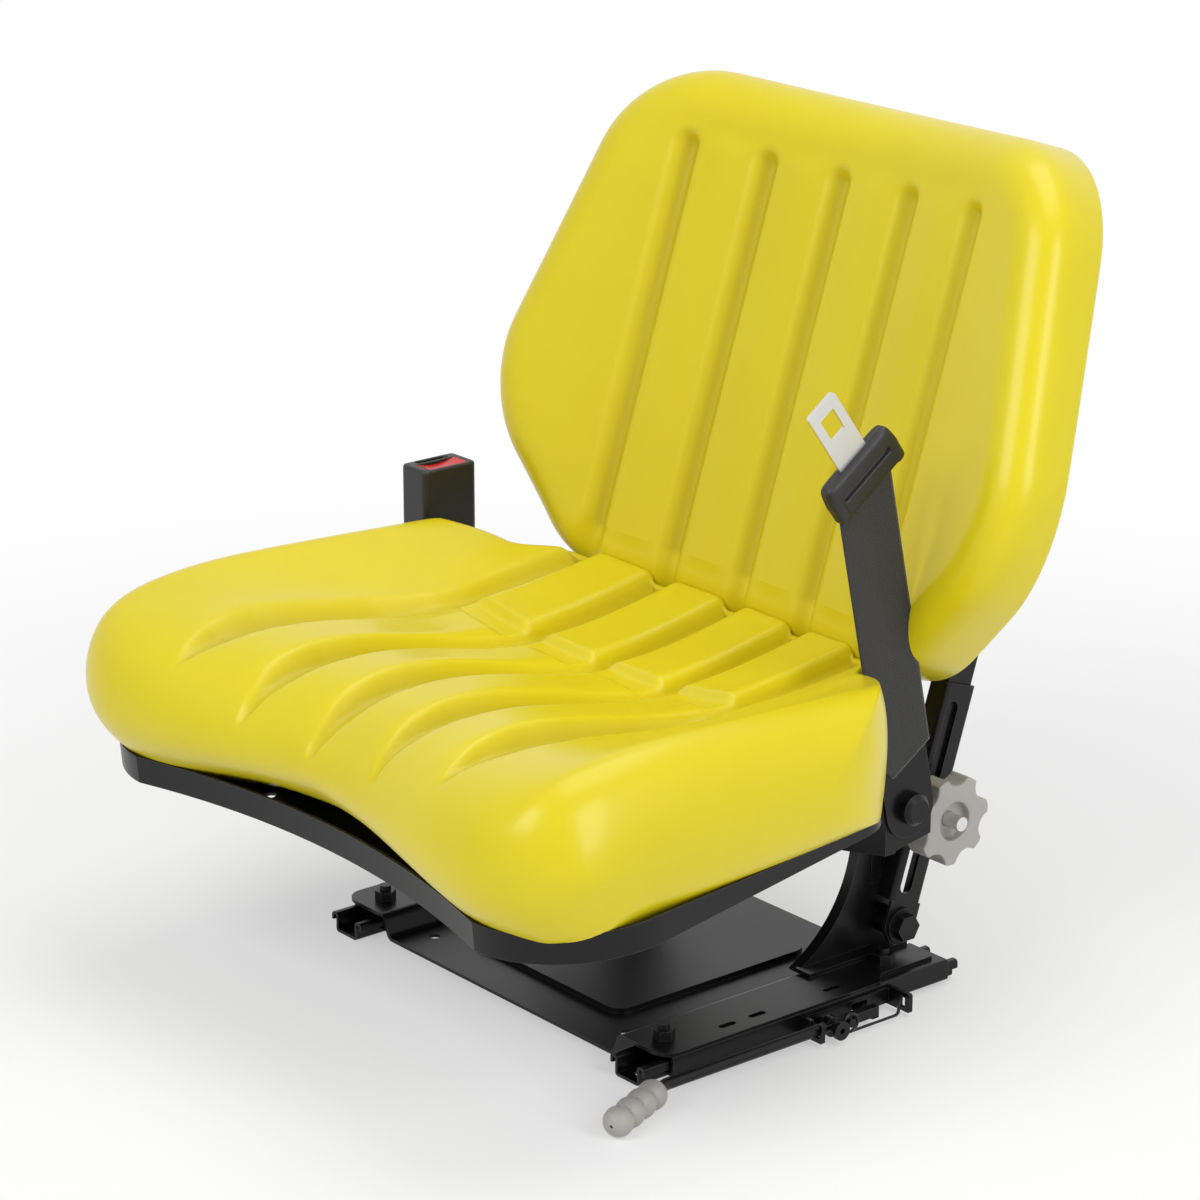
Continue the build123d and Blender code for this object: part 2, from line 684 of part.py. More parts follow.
def belt_bolt(grip):
    """Round-headed bolt and its nut through an ear and what lies on it, on the left."""
    start = EAR_X + grip
    head = rod_x(BELT_HEAD, start, start + BELT_HEAD_HEIGHT, BELT_BOLT_Y, BELT_BOLT_Z)
    head = chamfer(head.faces().sort_by(Axis.X)[-1].edges(), BELT_HEAD_HEIGHT / 3)
    inner = EAR_X - EAR_SHEET
    shank = rod_x(BELT_BOLT, inner - BELT_NUT_HEIGHT - BELT_BOLT_END, start, BELT_BOLT_Y, BELT_BOLT_Z)
    nut = along_x(Pos(BELT_BOLT_Y, BELT_BOLT_Z) * hexagon(BELT_NUT_FLATS), inner - BELT_NUT_HEIGHT, inner)
    return head + shank + nut


def padded_section(x, points):
    """Cushion section at one X: a curve through points, closed by a straight base."""
    edge = Spline(*points)
    section = make_face([edge, Line(edge @ 1, edge @ 0)])
    return Plane((x, 0, 0), x_dir=(0, 1, 0), z_dir=(1, 0, 0)) * section


def stations(edges):
    """Places of the sections from right to left: the grooves' middles and sides, then the edges."""
    inner = {abs(x + side) for x in GROOVE_LINES for side in (-GROOVE_HALF, 0, GROOVE_HALF)}
    half = sorted(inner) + list(edges)
    return [-x for x in reversed(half) if x] + half


def groove(x):
    """Depth of the grooves at one section."""
    return GROOVE_DEPTH if abs(x) in GROOVE_LINES else 0.0


def eased(value, start, end):
    """Smooth rise from 0 to 1 between two places."""
    share = min(max((value - start) / (end - start), 0.0), 1.0)
    return (1 - math.cos(math.pi * share)) / 2


def rolled(value, start, end):
    """Quarter-round fall from 0 to 1 between two places."""
    share = max(value - start, 0.0) / (end - start)
    return 1 - math.sqrt(1 - share ** 2)


def seat_front(x):
    """Foremost Y of the seat cushion at one X."""
    front = SEAT_NOSE - SEAT_NOSE_BOW * eased(x, 0, SEAT_NOSE_HALF)
    return front + SEAT_CORNER_DEPTH * rolled(x, SEAT_NOSE_HALF, SEAT_HALF)


def seat_base_front(x):
    """Y where the seat cushion's front face meets the pan at one X."""
    front = SEAT_BASE_FRONT - SEAT_BASE_BOW * eased(x, SEAT_BASE_FLAT, SEAT_NOSE_HALF)
    return front + SEAT_CORNER_DEPTH * rolled(x, SEAT_NOSE_HALF, SEAT_HALF)


def seat_rear(x):
    """Rearmost Y of the seat cushion at one X."""
    inner = min(x, SEAT_NOSE_HALF)
    rear = SEAT_REAR - SEAT_REAR_DROP * (inner / GROOVE_LINES[-1]) ** SEAT_REAR_POWER
    return rear - SEAT_REAR_CORNER * rolled(x, SEAT_NOSE_HALF, SEAT_HALF)


def seat_floor(y):
    """Height of the seat pan's floor at one Y."""
    slope = math.tan(math.radians(SEAT_PAN_TILT))
    return SEAT_PAN_LEVEL + TRAY_SHEET + slope * (y - SEAT_PAN_FRONT)


def seat_section(x):
    """Side profile of the seat cushion at one X."""
    across = abs(x)
    front = seat_front(across)
    rear = seat_rear(across)
    base = seat_base_front(across)
    rise = BOLSTER_RISE * (min(across, BOLSTER_X) / BOLSTER_X) ** BOLSTER_POWER
    roll = BOLSTER_FALL * rolled(across, BOLSTER_X, SEAT_HALF)
    fall = roll + groove(x)
    narrow = min(across / SEAT_NOSE_HALF, 1.0)
    level = SEAT_NOSE_LEVEL + (SEAT_NOSE_SIDE_LEVEL - SEAT_NOSE_LEVEL) * narrow
    top_front = SEAT_FRONT_Z + rise * BOLSTER_FRONT - fall
    top_rear = SEAT_REAR_Z + rise * BOLSTER_REAR - fall
    valley = SEAT_VALLEY_Y + ((front + rear) / 2 - SEAT_VALLEY_Y) * narrow
    brim = top_front + groove(x) - SEAT_NOSE_DROP
    return padded_section(x, (
        (rear - SEAT_SUNK, seat_floor(rear) - SEAT_SUNK + roll),
        (rear, (seat_floor(rear) + roll + top_rear) / 2),
        (rear - SEAT_REAR_SOFT, top_rear),
        (valley, SEAT_VALLEY_Z + rise - fall),
        (front + SEAT_NOSE_SOFT, top_front + groove(x) * (1 - GROOVE_FADE)),
        (front + SEAT_NOSE_BRIM, brim),
        (front, seat_floor(front) + level),
        (base, seat_floor(base) - SEAT_SUNK + roll),
    ))


def seat_cushion():
    """Bucket cushion: side profiles joined across the seat, with a base fitted to the pan."""
    edges = [SEAT_HALF - step for step in SEAT_EDGE_STEPS]
    cushion = loft([seat_section(x) for x in stations(edges)], ruled=True)
    top = TRAY_SHEET + TRAY_LIP + SEAT_CLEARANCE
    inside = offset(tray_outline(), -TRAY_SHEET - SEAT_CLEARANCE, kind=Kind.INTERSECTION)
    below = block((-HUGE, HUGE), (-HUGE, HUGE), (-HUGE, top))
    below -= along_z(inside, TRAY_SHEET + SEAT_CLEARANCE, top + CUT_PAST)
    cushion -= SEAT_FRAME * below
    hole = SCREW_DIAMETER + BOLT_CLEARANCE
    for side in (-1, 1):
        for y in SCREW_YS:
            cushion -= SEAT_FRAME * rod_z(hole, 0, SCREW_REACH + 2, side * SCREW_X, seat_y(y))
    return cushion


def cushion_screws():
    """Screws from below through the uprights' heads and the pan into the cushion."""
    screws = []
    low = -UPRIGHT_SHEET
    for side in (-1, 1):
        for y in SCREW_YS:
            x = side * SCREW_X
            head = along_z(Pos(x, seat_y(y)) * hexagon(SCREW_HEAD), low - SCREW_HEAD_HEIGHT, low)
            screws.append(SEAT_FRAME * (head + rod_z(SCREW_DIAMETER, low, SCREW_REACH, x, seat_y(y))))
    return Compound(children=[screw.solid() for screw in screws])


def pivot_bolt():
    """Bolt and nut of the left arm's pivot."""
    head_start = ARM_X + PIVOT_RUN + PIVOT_WASHER_SHEET
    inner = UPRIGHT_X - UPRIGHT_SHEET
    at = Pos(PIVOT_Y, PIVOT_Z)
    bolt = along_x(at * hexagon(PIVOT_FLATS), head_start, head_start + PIVOT_HEAD_HEIGHT)
    bolt += rod_x(PIVOT_BOLT, inner - PIVOT_HEAD_HEIGHT - 2, head_start, PIVOT_Y, PIVOT_Z)
    return bolt + along_x(at * hexagon(PIVOT_FLATS), inner - PIVOT_HEAD_HEIGHT, inner)


def pivot_ring(diameter, start, end):
    """A ring round the left pivot bolt."""
    ring = rod_x(diameter, start, end, PIVOT_Y, PIVOT_Z)
    return ring - rod_x(PIVOT_BOLT + PIVOT_CLEARANCE, start - CUT_PAST, end + CUT_PAST, PIVOT_Y, PIVOT_Z)


def arm():
    """Slotted channel of the left side, open towards the seat, with a tapered foot round the pivot."""
    half = ARM_WIDTH / 2
    middle = half - ARM_SHEET / 2
    web = ARM_X - ARM_SHEET / 2
    line = FilletPolyline(
        (ARM_INNER, -middle), (web, -middle), (web, middle), (ARM_INNER, middle), radius=ARM_BEND)
    channel = along_z(trace(line, ARM_SHEET), ARM_SHOULDER, ARM_TOP)
    foot = make_face(Polyline(
        (-half, ARM_SHOULDER), (-half, -ARM_TIP_HALF), (-ARM_TIP_HALF, -ARM_TIP), (ARM_TIP_HALF, -ARM_TIP),
        (half, -ARM_TIP_HALF), (half, ARM_SHOULDER), close=True,
    ))
    channel += along_x(fillet(foot.vertices().sort_by(Axis.Y)[:4], ARM_CORNER), ARM_WEB, ARM_X)
    slot = Rot(0, 0, 90) * SlotOverall(SLOT_HIGH - SLOT_LOW, SLOT_WIDTH)
    slot = Pos(SLOT_OFFSET, (SLOT_LOW + SLOT_HIGH) / 2) * slot
    channel -= along_x(slot, ARM_WEB - CUT_PAST, ARM_X + CUT_PAST)
    channel -= rod_x(PIVOT_BOLT + PIVOT_CLEARANCE, ARM_WEB - CUT_PAST, ARM_X + CUT_PAST)
    return BACK_FRAME * channel


def back_bar():
    """Flat bar that telescopes in the left arm and carries the back."""
    bar = block((BAR_INNER, BAR_OUTER), (-BAR_HALF, BAR_HALF), (BAR_LOW, BAR_HIGH))
    bore = CLAMP_BOLT + NUT_CLEARANCE
    bar -= rod_x(bore, BAR_INNER - CUT_PAST, BAR_OUTER + CUT_PAST, SLOT_OFFSET, CLAMP_ALONG)
    middle = (BAR_INNER + BAR_OUTER) / 2
    for along in BACK_BOLT_ALONG:
        bar -= rod_y(BACK_BOLT + BOLT_CLEARANCE, -BAR_HALF - CUT_PAST, BAR_HALF + CUT_PAST, middle, along)
    return BACK_FRAME * bar


def back_bolts():
    """Bolts through the bars into the shell's ribs."""
    middle = (BAR_INNER + BAR_OUTER) / 2
    bolts = []
    for x in (-middle, middle):
        for along in BACK_BOLT_ALONG:
            head = Pos(x, along) * hexagon(BACK_BOLT_FLATS)
            bolt = along_y(head, BAR_HALF, BAR_HALF + BACK_BOLT_HEAD_HEIGHT)
            bolts.append(BACK_FRAME * (bolt + rod_y(BACK_BOLT, -BAR_HALF - RIB_THICK, BAR_HALF, x, along)))
    return Compound(children=[bolt.solid() for bolt in bolts])


def clamp_bolt():
    """Bolt through the left bar and the arm's slot, which the star knob runs on."""
    head = rod_x(CLAMP_HEAD, BAR_INNER - CLAMP_HEAD_HEIGHT, BAR_INNER, SLOT_OFFSET, CLAMP_ALONG)
    return BACK_FRAME * (head + rod_x(CLAMP_BOLT, BAR_INNER, CLAMP_END, SLOT_OFFSET, CLAMP_ALONG))


def clamp_washer():
    """Washer between the left arm and its knob."""
    start = ARM_X + KNOB_RUN
    end = start + CLAMP_WASHER_SHEET
    washer = rod_x(CLAMP_WASHER, start, end, SLOT_OFFSET, CLAMP_ALONG)
    bore = rod_x(CLAMP_BOLT + NUT_CLEARANCE, start - CUT_PAST, end + CUT_PAST, SLOT_OFFSET, CLAMP_ALONG)
    return BACK_FRAME * (washer - bore)


def star_knob():
    """Seven-lobed clamp knob of the left side, with a neck and a dished face."""
    star = Circle(KNOB_RADIUS)
    for index in range(KNOB_LOBES):
        star -= Rot(0, 0, 360 / KNOB_LOBES * index) * Pos(KNOB_SCALLOP_CENTRE, 0) * Circle(KNOB_SCALLOP)
    star = fillet(star.vertices(), KNOB_EDGE)
    disc_start = KNOB_INNER + KNOB_NECK_LENGTH
    knob = along_x(star, disc_start, KNOB_OUTER)
    knob += rod_x(2 * KNOB_NECK, KNOB_INNER, disc_start)
    knob -= rod_x(2 * KNOB_RECESS, KNOB_OUTER - KNOB_RECESS_DEPTH, KNOB_OUTER + CUT_PAST)
    knob -= rod_x(CLAMP_BOLT + PIVOT_CLEARANCE, KNOB_INNER - CUT_PAST, KNOB_OUTER + CUT_PAST)
    return BACK_FRAME * Pos(0, SLOT_OFFSET, CLAMP_ALONG) * knob


def round_front(face, wing):
    """The space in front of an upright surface that curves forward at its sides."""
    radius = (BACK_WING_HALF ** 2 + wing ** 2) / (2 * wing)
    return along_z(Pos(0, face - radius) * Circle(radius), 0, HUGE)


def back_outline():
    """Front view of the back: a tapered shape with rounded corners."""
    left = [(x, z) for x, z, corner in BACK_OUTLINE]
    right = [(-x, z) for x, z in reversed(left)]
    plan = make_face(Polyline(*left, *right, close=True))
    for x, z, corner in BACK_OUTLINE:
        ends = [v for v in plan.vertices() if math.isclose(abs(v.X), x) and math.isclose(v.Y, z)]
        plan = fillet(ends, corner)
    return plan


def backrest_shell():
    """Moulded panel bent round the back, with two ribs that the bars bolt to."""
    panel = along_y(offset(back_outline(), -SHELL_INSET), -HUGE / 4, SHELL_BACK)
    shell = (panel & round_front(SHELL_BACK, BACK_WING)) - round_front(SHELL_FACE, BACK_WING)
    middle = (BAR_INNER + BAR_OUTER) / 2
    inner = SHELL_BACK - RIB_THICK
    for x in (-middle, middle):
        rib = block((x - RIB_HALF, x + RIB_HALF), (-HUGE / 4, SHELL_BACK), (RIB_LOW, RIB_HIGH))
        shell += rib - round_front(SHELL_BACK - SHELL_SHEET / 2, BACK_WING)
        for along in BACK_BOLT_ALONG:
            shell -= rod_y(BACK_BOLT + BOLT_CLEARANCE, inner, SHELL_BACK + CUT_PAST, x, along)
    return BACK_FRAME * shell


def face_depth(x):
    """Y of the back cushion's face at one X, in the lean's frame."""
    return -BACK_FACE - BACK_FACE_WING * (x / BACK_WING_HALF) ** 2


def backrest_cushion():
    """Winged back cushion: rounded all round, hollowed for the shell, with five channels."""
    cushion = along_y(back_outline(), -HUGE / 4, SHELL_BACK)
    cushion &= round_front(SHELL_FACE - SEAT_CLEARANCE, BACK_WING)
    cushion -= round_front(-BACK_FACE, BACK_FACE_WING)
    face = cushion.faces().sort_by(SortBy.AREA)[-2:].sort_by(Axis.Y)[0]
    cushion = fillet(face.edges(), BACK_FRONT_ROLL)
    rear = cushion.faces().sort_by(SortBy.AREA)[-2:].sort_by(Axis.Y)[-1]
    cushion = fillet(rear.edges(), BACK_REAR_ROLL)
    for line in GROOVE_LINES:
        for x in {-line, line}:
            y = face_depth(x) + GROOVE_DEPTH - BACK_GROOVE_RADIUS
            cushion -= rod_z(2 * BACK_GROOVE_RADIUS, 0, BACK_GROOVE_END, x, y)
            cushion -= Pos(x, y, BACK_GROOVE_END) * Sphere(BACK_GROOVE_RADIUS)
    return BACK_FRAME * cushion


def latch_bracket():
    """Bracket on the left rail's wall with a forked front ear and a slotted rear ear."""
    plate = block((RAIL_WALL, LATCH_FACE), (LATCH_FRONT, LATCH_REAR), (LATCH_LOW, LATCH_HIGH))
    plate -= tooth_window(RAIL_WALL - CUT_PAST, LATCH_FACE + CUT_PAST)
    reach = (RAIL_WALL, LATCH_FACE + LATCH_EAR_REACH)
    height = (LATCH_EAR_LOW, LATCH_EAR_HIGH)
    fork = block(reach, (LATCH_FRONT, LATCH_FRONT + LATCH_SHEET), height)
    half = LEVER_BAR / 2 + LATCH_SLOT_GAP
    through = (LATCH_FRONT - CUT_PAST, LATCH_FRONT + LATCH_SHEET + CUT_PAST)
    fork -= block((LEVER_X - half, LEVER_X + half), through, (LEVER_Z - half, HUGE))
    rear = block(reach, (LATCH_REAR - LATCH_SHEET, LATCH_REAR), height)
    slot = (LEVER_X - LATCH_REAR_SLOT / 2, LEVER_X + LATCH_REAR_SLOT / 2)
    through = (LATCH_REAR - LATCH_SHEET - CUT_PAST, LATCH_REAR + CUT_PAST)
    rear -= block(slot, through, (LEVER_Z - LATCH_REAR_SLOT, LEVER_Z + LATCH_REAR_SLOT / 2))
    ears = fork + rear
    outer = ears.edges().filter_by(Axis.Y).sort_by(Axis.X)[-4:]
    return plate + fillet(outer, LATCH_SHEET / 2)


def lever_pin():
    """Hollow rivet that the lever turns on."""
    pin = rod_x(LEVER_PIN, LATCH_FACE, LEVER_PIN_END, LEVER_PIVOT_Y, LEVER_Z)
    end = LEVER_PIN_END + LEVER_HEAD_SHEET
    pin += rod_x(LEVER_PIN_HEAD, LEVER_PIN_END, end, LEVER_PIVOT_Y, LEVER_Z)
    return pin - rod_x(LEVER_PIN_BORE, end - LEVER_PIN_BORE_DEPTH, end + CUT_PAST, LEVER_PIVOT_Y, LEVER_Z)


def flare_point(distance):
    """A point along the lever's flared front end."""
    angle = math.radians(LEVER_FLARE)
    return (LEVER_X + distance * math.sin(angle), LEVER_BEND_Y - distance * math.cos(angle), LEVER_Z)


def slide_lever():
    """Round bar, flared at the front, with a flat eye, a tail and the latch tooth."""
    path = FilletPolyline(
        (LEVER_X, LEVER_PIVOT_Y, LEVER_Z), (LEVER_X, LEVER_BEND_Y, LEVER_Z), flare_point(LEVER_FLARE_LENGTH),
        radius=LEVER_BEND_RADIUS)
    bar = sweep(Plane(path @ 0, z_dir=path % 0) * Circle(LEVER_BAR / 2), path)
    thick = (LEVER_X - LEVER_EYE_THICK / 2, LEVER_X + LEVER_EYE_THICK / 2)
    bar += rod_x(LEVER_EYE, *thick, LEVER_PIVOT_Y, LEVER_Z)
    half = LEVER_TAIL_HEIGHT / 2
    bar += block(thick, (LEVER_PIVOT_Y, LEVER_TAIL_REAR), (LEVER_Z - half, LEVER_Z + half))
    low = TOOTH_TOP - TOOTH_HEIGHT
    lip_inside = RAIL_X + LIP_HALF - TOOTH_REACH
    bar += block((lip_inside, thick[1]), (TOOTH_FRONT, TOOTH_REAR), (low, TOOTH_TOP))
    bar += block(thick, (TOOTH_FRONT, TOOTH_REAR), (low, LEVER_Z))
    bar += rod_x(LEVER_PIN, thick[0], LEVER_POST_END, LEVER_POST_Y, LEVER_Z)
    return bar - rod_x(LEVER_PIN + PIVOT_CLEARANCE, LATCH_FACE, LEVER_PIN_END, LEVER_PIVOT_Y, LEVER_Z)


def lever_grip():
    """Grip of four rounded rolls pushed over the lever's end."""
    rings = [(GRIP_WAIST, GRIP_FIRST - GRIP_PITCH / 2)]
    for index in range(GRIP_BALLS):
        middle = GRIP_FIRST + index * GRIP_PITCH
        rings.append((GRIP_BALL, middle - GRIP_PITCH / 4))
        rings.append((GRIP_BALL, middle + GRIP_PITCH / 4))
        rings.append((GRIP_WAIST, middle + GRIP_PITCH / 2))
    grip = loft([Pos(0, 0, z) * RegularPolygon(radius, GRIP_SIDES) for radius, z in rings], ruled=True)
    bore = LEVER_BAR + 2 * GRIP_FIT
    grip -= rod_z(bore, 0, LEVER_FLARE_LENGTH + GRIP_FIT)
    start = flare_point(0)
    tip = flare_point(1)
    along = tuple(b - a for a, b in zip(start, tip))
    return Plane(start, z_dir=along).location * grip


def lever_spring():
    """Wire spring: an eye round the lever's post, a leg to the rear and a hook in the rear ear."""
    wire = RegularPolygon(SPRING_WIRE, 6)
    loop = Pos(SPRING_X, LEVER_POST_Y, LEVER_Z) * revolve(
        Pos(0, SPRING_COIL) * Plane.XY * wire, Axis.X, 360)
    low = LEVER_Z - SPRING_COIL
    path = FilletPolyline(
        (SPRING_X, LEVER_POST_Y, low), (SPRING_X, SPRING_LEG_Y, low),
        (SPRING_X, SPRING_LEG_Y, SPRING_HOOK_Z),
        (LEVER_X, LATCH_REAR - LATCH_SHEET - SPRING_WIRE, SPRING_HOOK_Z),
        radius=SPRING_BEND)
    return loop + sweep(Plane(path @ 0, z_dir=path % 0) * wire, path)


def belt_tab():
    """Steel tab under the belt's end, rounded at the bolt."""
    half = TAB_WIDTH / 2
    face = Pos(0, TAB_LENGTH / 2) * Rectangle(TAB_WIDTH, TAB_LENGTH) + Circle(half)
    tab = along_x(face, EAR_X, TAB_FACE)
    return BELT_FRAME * (tab - rod_x(BELT_BOLT + BOLT_CLEARANCE, EAR_X - CUT_PAST, TAB_FACE + CUT_PAST))


def belt_webbing():
    """Straight strap from the tab to the tongue, pointed where it is sewn to the tab."""
    half = BELT_WIDTH / 2
    face = make_face(Polyline(
        (-half, BELT_LAP + BELT_POINT), (-half / 2, BELT_LAP), (half, BELT_LAP + BELT_POINT),
        (half, BELT_LENGTH), (-half, BELT_LENGTH), close=True,
    ))
    return BELT_FRAME * along_x(face, TAB_FACE, TAB_FACE + BELT_THICK)


def tongue_frame():
    """Frame of the tongue, at the top end of the webbing."""
    return BELT_FRAME * Pos(TAB_FACE + BELT_THICK / 2, 0, BELT_LENGTH) * Rot(TONGUE_LEAN - BELT_LEAN, 0, 0)


def belt_tongue():
    """Steel tongue with its latch window."""
    face = Pos(0, TONGUE_LENGTH / 2 + COVER_OVERLAP / 2) * Rectangle(TONGUE_WIDTH, TONGUE_LENGTH)
    face = fillet(face.vertices(), TONGUE_CORNER)
    top = TONGUE_LENGTH + COVER_OVERLAP / 2
    window = Pos(0, top - TONGUE_WINDOW_INSET - TONGUE_WINDOW_LENGTH / 2) * Rectangle(
        TONGUE_WINDOW_WIDTH, TONGUE_WINDOW_LENGTH)
    half = TONGUE_SHEET / 2
    return tongue_frame() * along_x(face - window, -half, half)


def tongue_cover():
    """Moulded cover over the tongue's foot, with the slot that the webbing ends in."""
    face = RectangleRounded(COVER_WIDTH, COVER_HEIGHT, COVER_CORNER)
    half = COVER_THICK / 2
    cover = along_x(face, -half, half)
    ends = cover.faces().sort_by(Axis.X)
    cover = chamfer(ends[0].edges() + ends[-1].edges(), half / 3)
    cover = tongue_frame() * cover
    gap = COVER_SLOT_GAP
    slot_half = BELT_WIDTH / 2 + gap
    slot = Rectangle(2 * slot_half, 2 * (BELT_LENGTH + gap))
    cover -= BELT_FRAME * along_x(slot, TAB_FACE - gap, TAB_FACE + BELT_THICK + gap)
    pocket = Pos(0, TONGUE_LENGTH / 2 + COVER_OVERLAP / 2) * Rectangle(TONGUE_WIDTH, TONGUE_LENGTH)
    half_tongue = TONGUE_SHEET / 2
    return cover - tongue_frame() * along_x(pocket, -half_tongue, half_tongue)


def buckle_stalk():
    """Bent flat stalk from the right-hand ear out to the buckle."""
    foot = EAR_X + STALK_SHEET / 2
    lean = math.cos(math.radians(STALK_LEAN))
    rise = (BUCKLE_TOP - BUCKLE_HEIGHT - BELT_BOLT_Z) / lean
    line = FilletPolyline(
        (foot, -STALK_FOOT), (foot, STALK_KNEE),
        (-BUCKLE_X, rise - STALK_KNEE / 2), (-BUCKLE_X, rise + STALK_SOCKET / 2),
        radius=STALK_BEND)
    half = STALK_WIDTH / 2
    stalk = along_y(trace(line, STALK_SHEET), -half, half)
    lower = stalk.edges().filter_by(Axis.X).sort_by(Axis.Z)[:2]
    stalk = fillet(lower, half - STALK_FLAT)
    stalk -= rod_x(BELT_BOLT + BOLT_CLEARANCE, EAR_X - CUT_PAST, EAR_X + STALK_SHEET + CUT_PAST)
    placed = Location((0, BELT_BOLT_Y, BELT_BOLT_Z), (STALK_LEAN, 0, 0)) * stalk
    return other_side(placed)


def buckle_place():
    """Middle of the buckle's top."""
    return Pos(BUCKLE_X, BUCKLE_Y, BUCKLE_TOP)


def buckle_housing(stalk):
    """Moulded housing with a well for the button, a mouth for the tongue and a socket for the stalk."""
    outer = RectangleRounded(BUCKLE_THICK, BUCKLE_WIDTH, BUCKLE_CORNER)
    housing = along_z(outer, -BUCKLE_HEIGHT, 0)
    housing = chamfer(housing.faces().sort_by(Axis.Z)[-1].edges(), BUCKLE_CORNER / 3)
    well = Rectangle(BUTTON_THICK + 2 * BUTTON_GAP, BUTTON_WIDTH + 2 * BUTTON_GAP)
    housing -= Pos(BUTTON_SHIFT, 0, 0) * along_z(well, -BUTTON_WELL, CUT_PAST)
    housing -= along_z(Pos(MOUTH_SHIFT, 0) * Rectangle(MOUTH_THICK, MOUTH_WIDTH), -MOUTH_DEPTH, CUT_PAST)
    housing = buckle_place() * housing
    return housing - stalk


def buckle_button():
    """Press button with a dished top."""
    button = along_z(Rectangle(BUTTON_THICK, BUTTON_WIDTH), -BUTTON_HEIGHT, 0)
    dish = rod_x(2 * BUTTON_DISH, -BUTTON_THICK, BUTTON_THICK, z=BUTTON_DISH - BUTTON_DISH_DEPTH)
    return buckle_place() * Pos(BUTTON_SHIFT, 0, 0) * (button - dish)


def button_spring():
    """Folded leaf spring under the button."""
    low = -BUTTON_WELL + BUTTON_SPRING_SHEET / 2
    high = -BUTTON_HEIGHT - BUTTON_SPRING_SHEET
    quarter = BUTTON_WIDTH / 5
    line = Polyline((-2 * quarter, low), (-quarter, low), (0, high), (quarter, low), (2 * quarter, low))
    leaf = along_x(trace(line, BUTTON_SPRING_SHEET), -BUTTON_SPRING_WIDTH / 2, BUTTON_SPRING_WIDTH / 2)
    return buckle_place() * Pos(BUTTON_SHIFT, 0, 0) * leaf


def build():
    """Every piece of the seat by its name."""
    rail = lower_rail()
    notched = rail
    for notch in latch_notches():
        notched -= notch
    top_rail = upper_rail()
    left_upper = Pos(RAIL_X, 0, 0) * top_rail - tooth_window(RAIL_X + FLOOR_WIDTH / 2, RAIL_WALL + CUT_PAST)
    left_arm = arm()
    left_bar = back_bar()
    left_ear = belt_ear()
    left_upright = upright()
    knob = star_knob()
    stalk = buckle_stalk()
    belt_bolts = list(belt_bolt(TAB_SHEET).solids()) + list(other_side(belt_bolt(STALK_SHEET)).solids())
    bush_end = ARM_WEB - PIVOT_RUN
    washer_start = ARM_X + PIVOT_RUN
    return {
        "left_lower_rail": Pos(RAIL_X, 0, 0) * notched,
        "right_lower_rail": Pos(-RAIL_X, 0, 0) * rail,
        "left_upper_rail": left_upper,
        "right_upper_rail": other_side(Pos(RAIL_X, 0, 0) * top_rail),
        "rail_glides": rail_glides(),
        "rail_studs": rail_studs(),
        "rail_nuts": rail_nuts(),
        "base_pan": base_pan(),
        "left_upright": left_upright,
        "right_upright": other_side(left_upright),
        "left_belt_ear": left_ear,
        "right_belt_ear": other_side(left_ear),
        "seat_pan": seat_pan(),
        "seat_cushion": seat_cushion(),
        "cushion_screws": cushion_screws(),
        "pivot_bolts": both(pivot_bolt()),
        "pivot_bushes": both(pivot_ring(PIVOT_BUSH, UPRIGHT_X, bush_end)),
        "pivot_washers": both(pivot_ring(PIVOT_WASHER, washer_start, washer_start + PIVOT_WASHER_SHEET)),
        "left_arm": left_arm,
        "right_arm": other_side(left_arm),
        "left_back_bar": left_bar,
        "right_back_bar": other_side(left_bar),
        "back_bolts": back_bolts(),
        "clamp_bolts": both(clamp_bolt()),
        "clamp_washers": both(clamp_washer()),
        "left_knob": knob,
        "right_knob": other_side(knob),
        "backrest_shell": backrest_shell(),
        "backrest_cushion": backrest_cushion(),
        "latch_bracket": latch_bracket(),
        "lever_pin": lever_pin(),
        "slide_lever": slide_lever(),
        "lever_grip": lever_grip(),
        "lever_spring": lever_spring(),
        "belt_tab": belt_tab(),
        "belt_bolts": Compound(children=belt_bolts),
        "belt_webbing": belt_webbing(),
        "belt_tongue": belt_tongue(),
        "tongue_cover": tongue_cover(),
        "buckle_stalk": stalk,
        "buckle_housing": buckle_housing(stalk),
        "buckle_button": buckle_button(),
        "button_spring": button_spring(),
    }


for name, piece in build().items():
    export_step(piece, f"parts/{name}.step")
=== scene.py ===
import json
import math

import bmesh
import bpy
import numpy as np
from mathutils import Matrix, Vector


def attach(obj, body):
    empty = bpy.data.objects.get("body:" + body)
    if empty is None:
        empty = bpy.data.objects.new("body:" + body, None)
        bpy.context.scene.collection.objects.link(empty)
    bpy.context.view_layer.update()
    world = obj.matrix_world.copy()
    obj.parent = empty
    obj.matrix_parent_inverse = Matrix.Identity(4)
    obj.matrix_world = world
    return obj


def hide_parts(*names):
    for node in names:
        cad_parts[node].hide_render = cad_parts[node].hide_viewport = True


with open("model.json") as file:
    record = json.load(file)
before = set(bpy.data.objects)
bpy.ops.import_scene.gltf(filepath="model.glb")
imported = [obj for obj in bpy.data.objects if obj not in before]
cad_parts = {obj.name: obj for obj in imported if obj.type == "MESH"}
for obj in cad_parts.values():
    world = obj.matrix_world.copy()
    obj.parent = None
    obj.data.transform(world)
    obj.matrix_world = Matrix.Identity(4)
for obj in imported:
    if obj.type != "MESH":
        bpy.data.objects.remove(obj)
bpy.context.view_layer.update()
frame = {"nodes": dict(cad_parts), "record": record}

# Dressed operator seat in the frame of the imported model, in metres unless said otherwise.
# +X is the operator's left, -Y is the front and +Z is up.

SLOT_OF = {row["node"]: row["material_slot"] for row in frame["record"]["subparts"]}

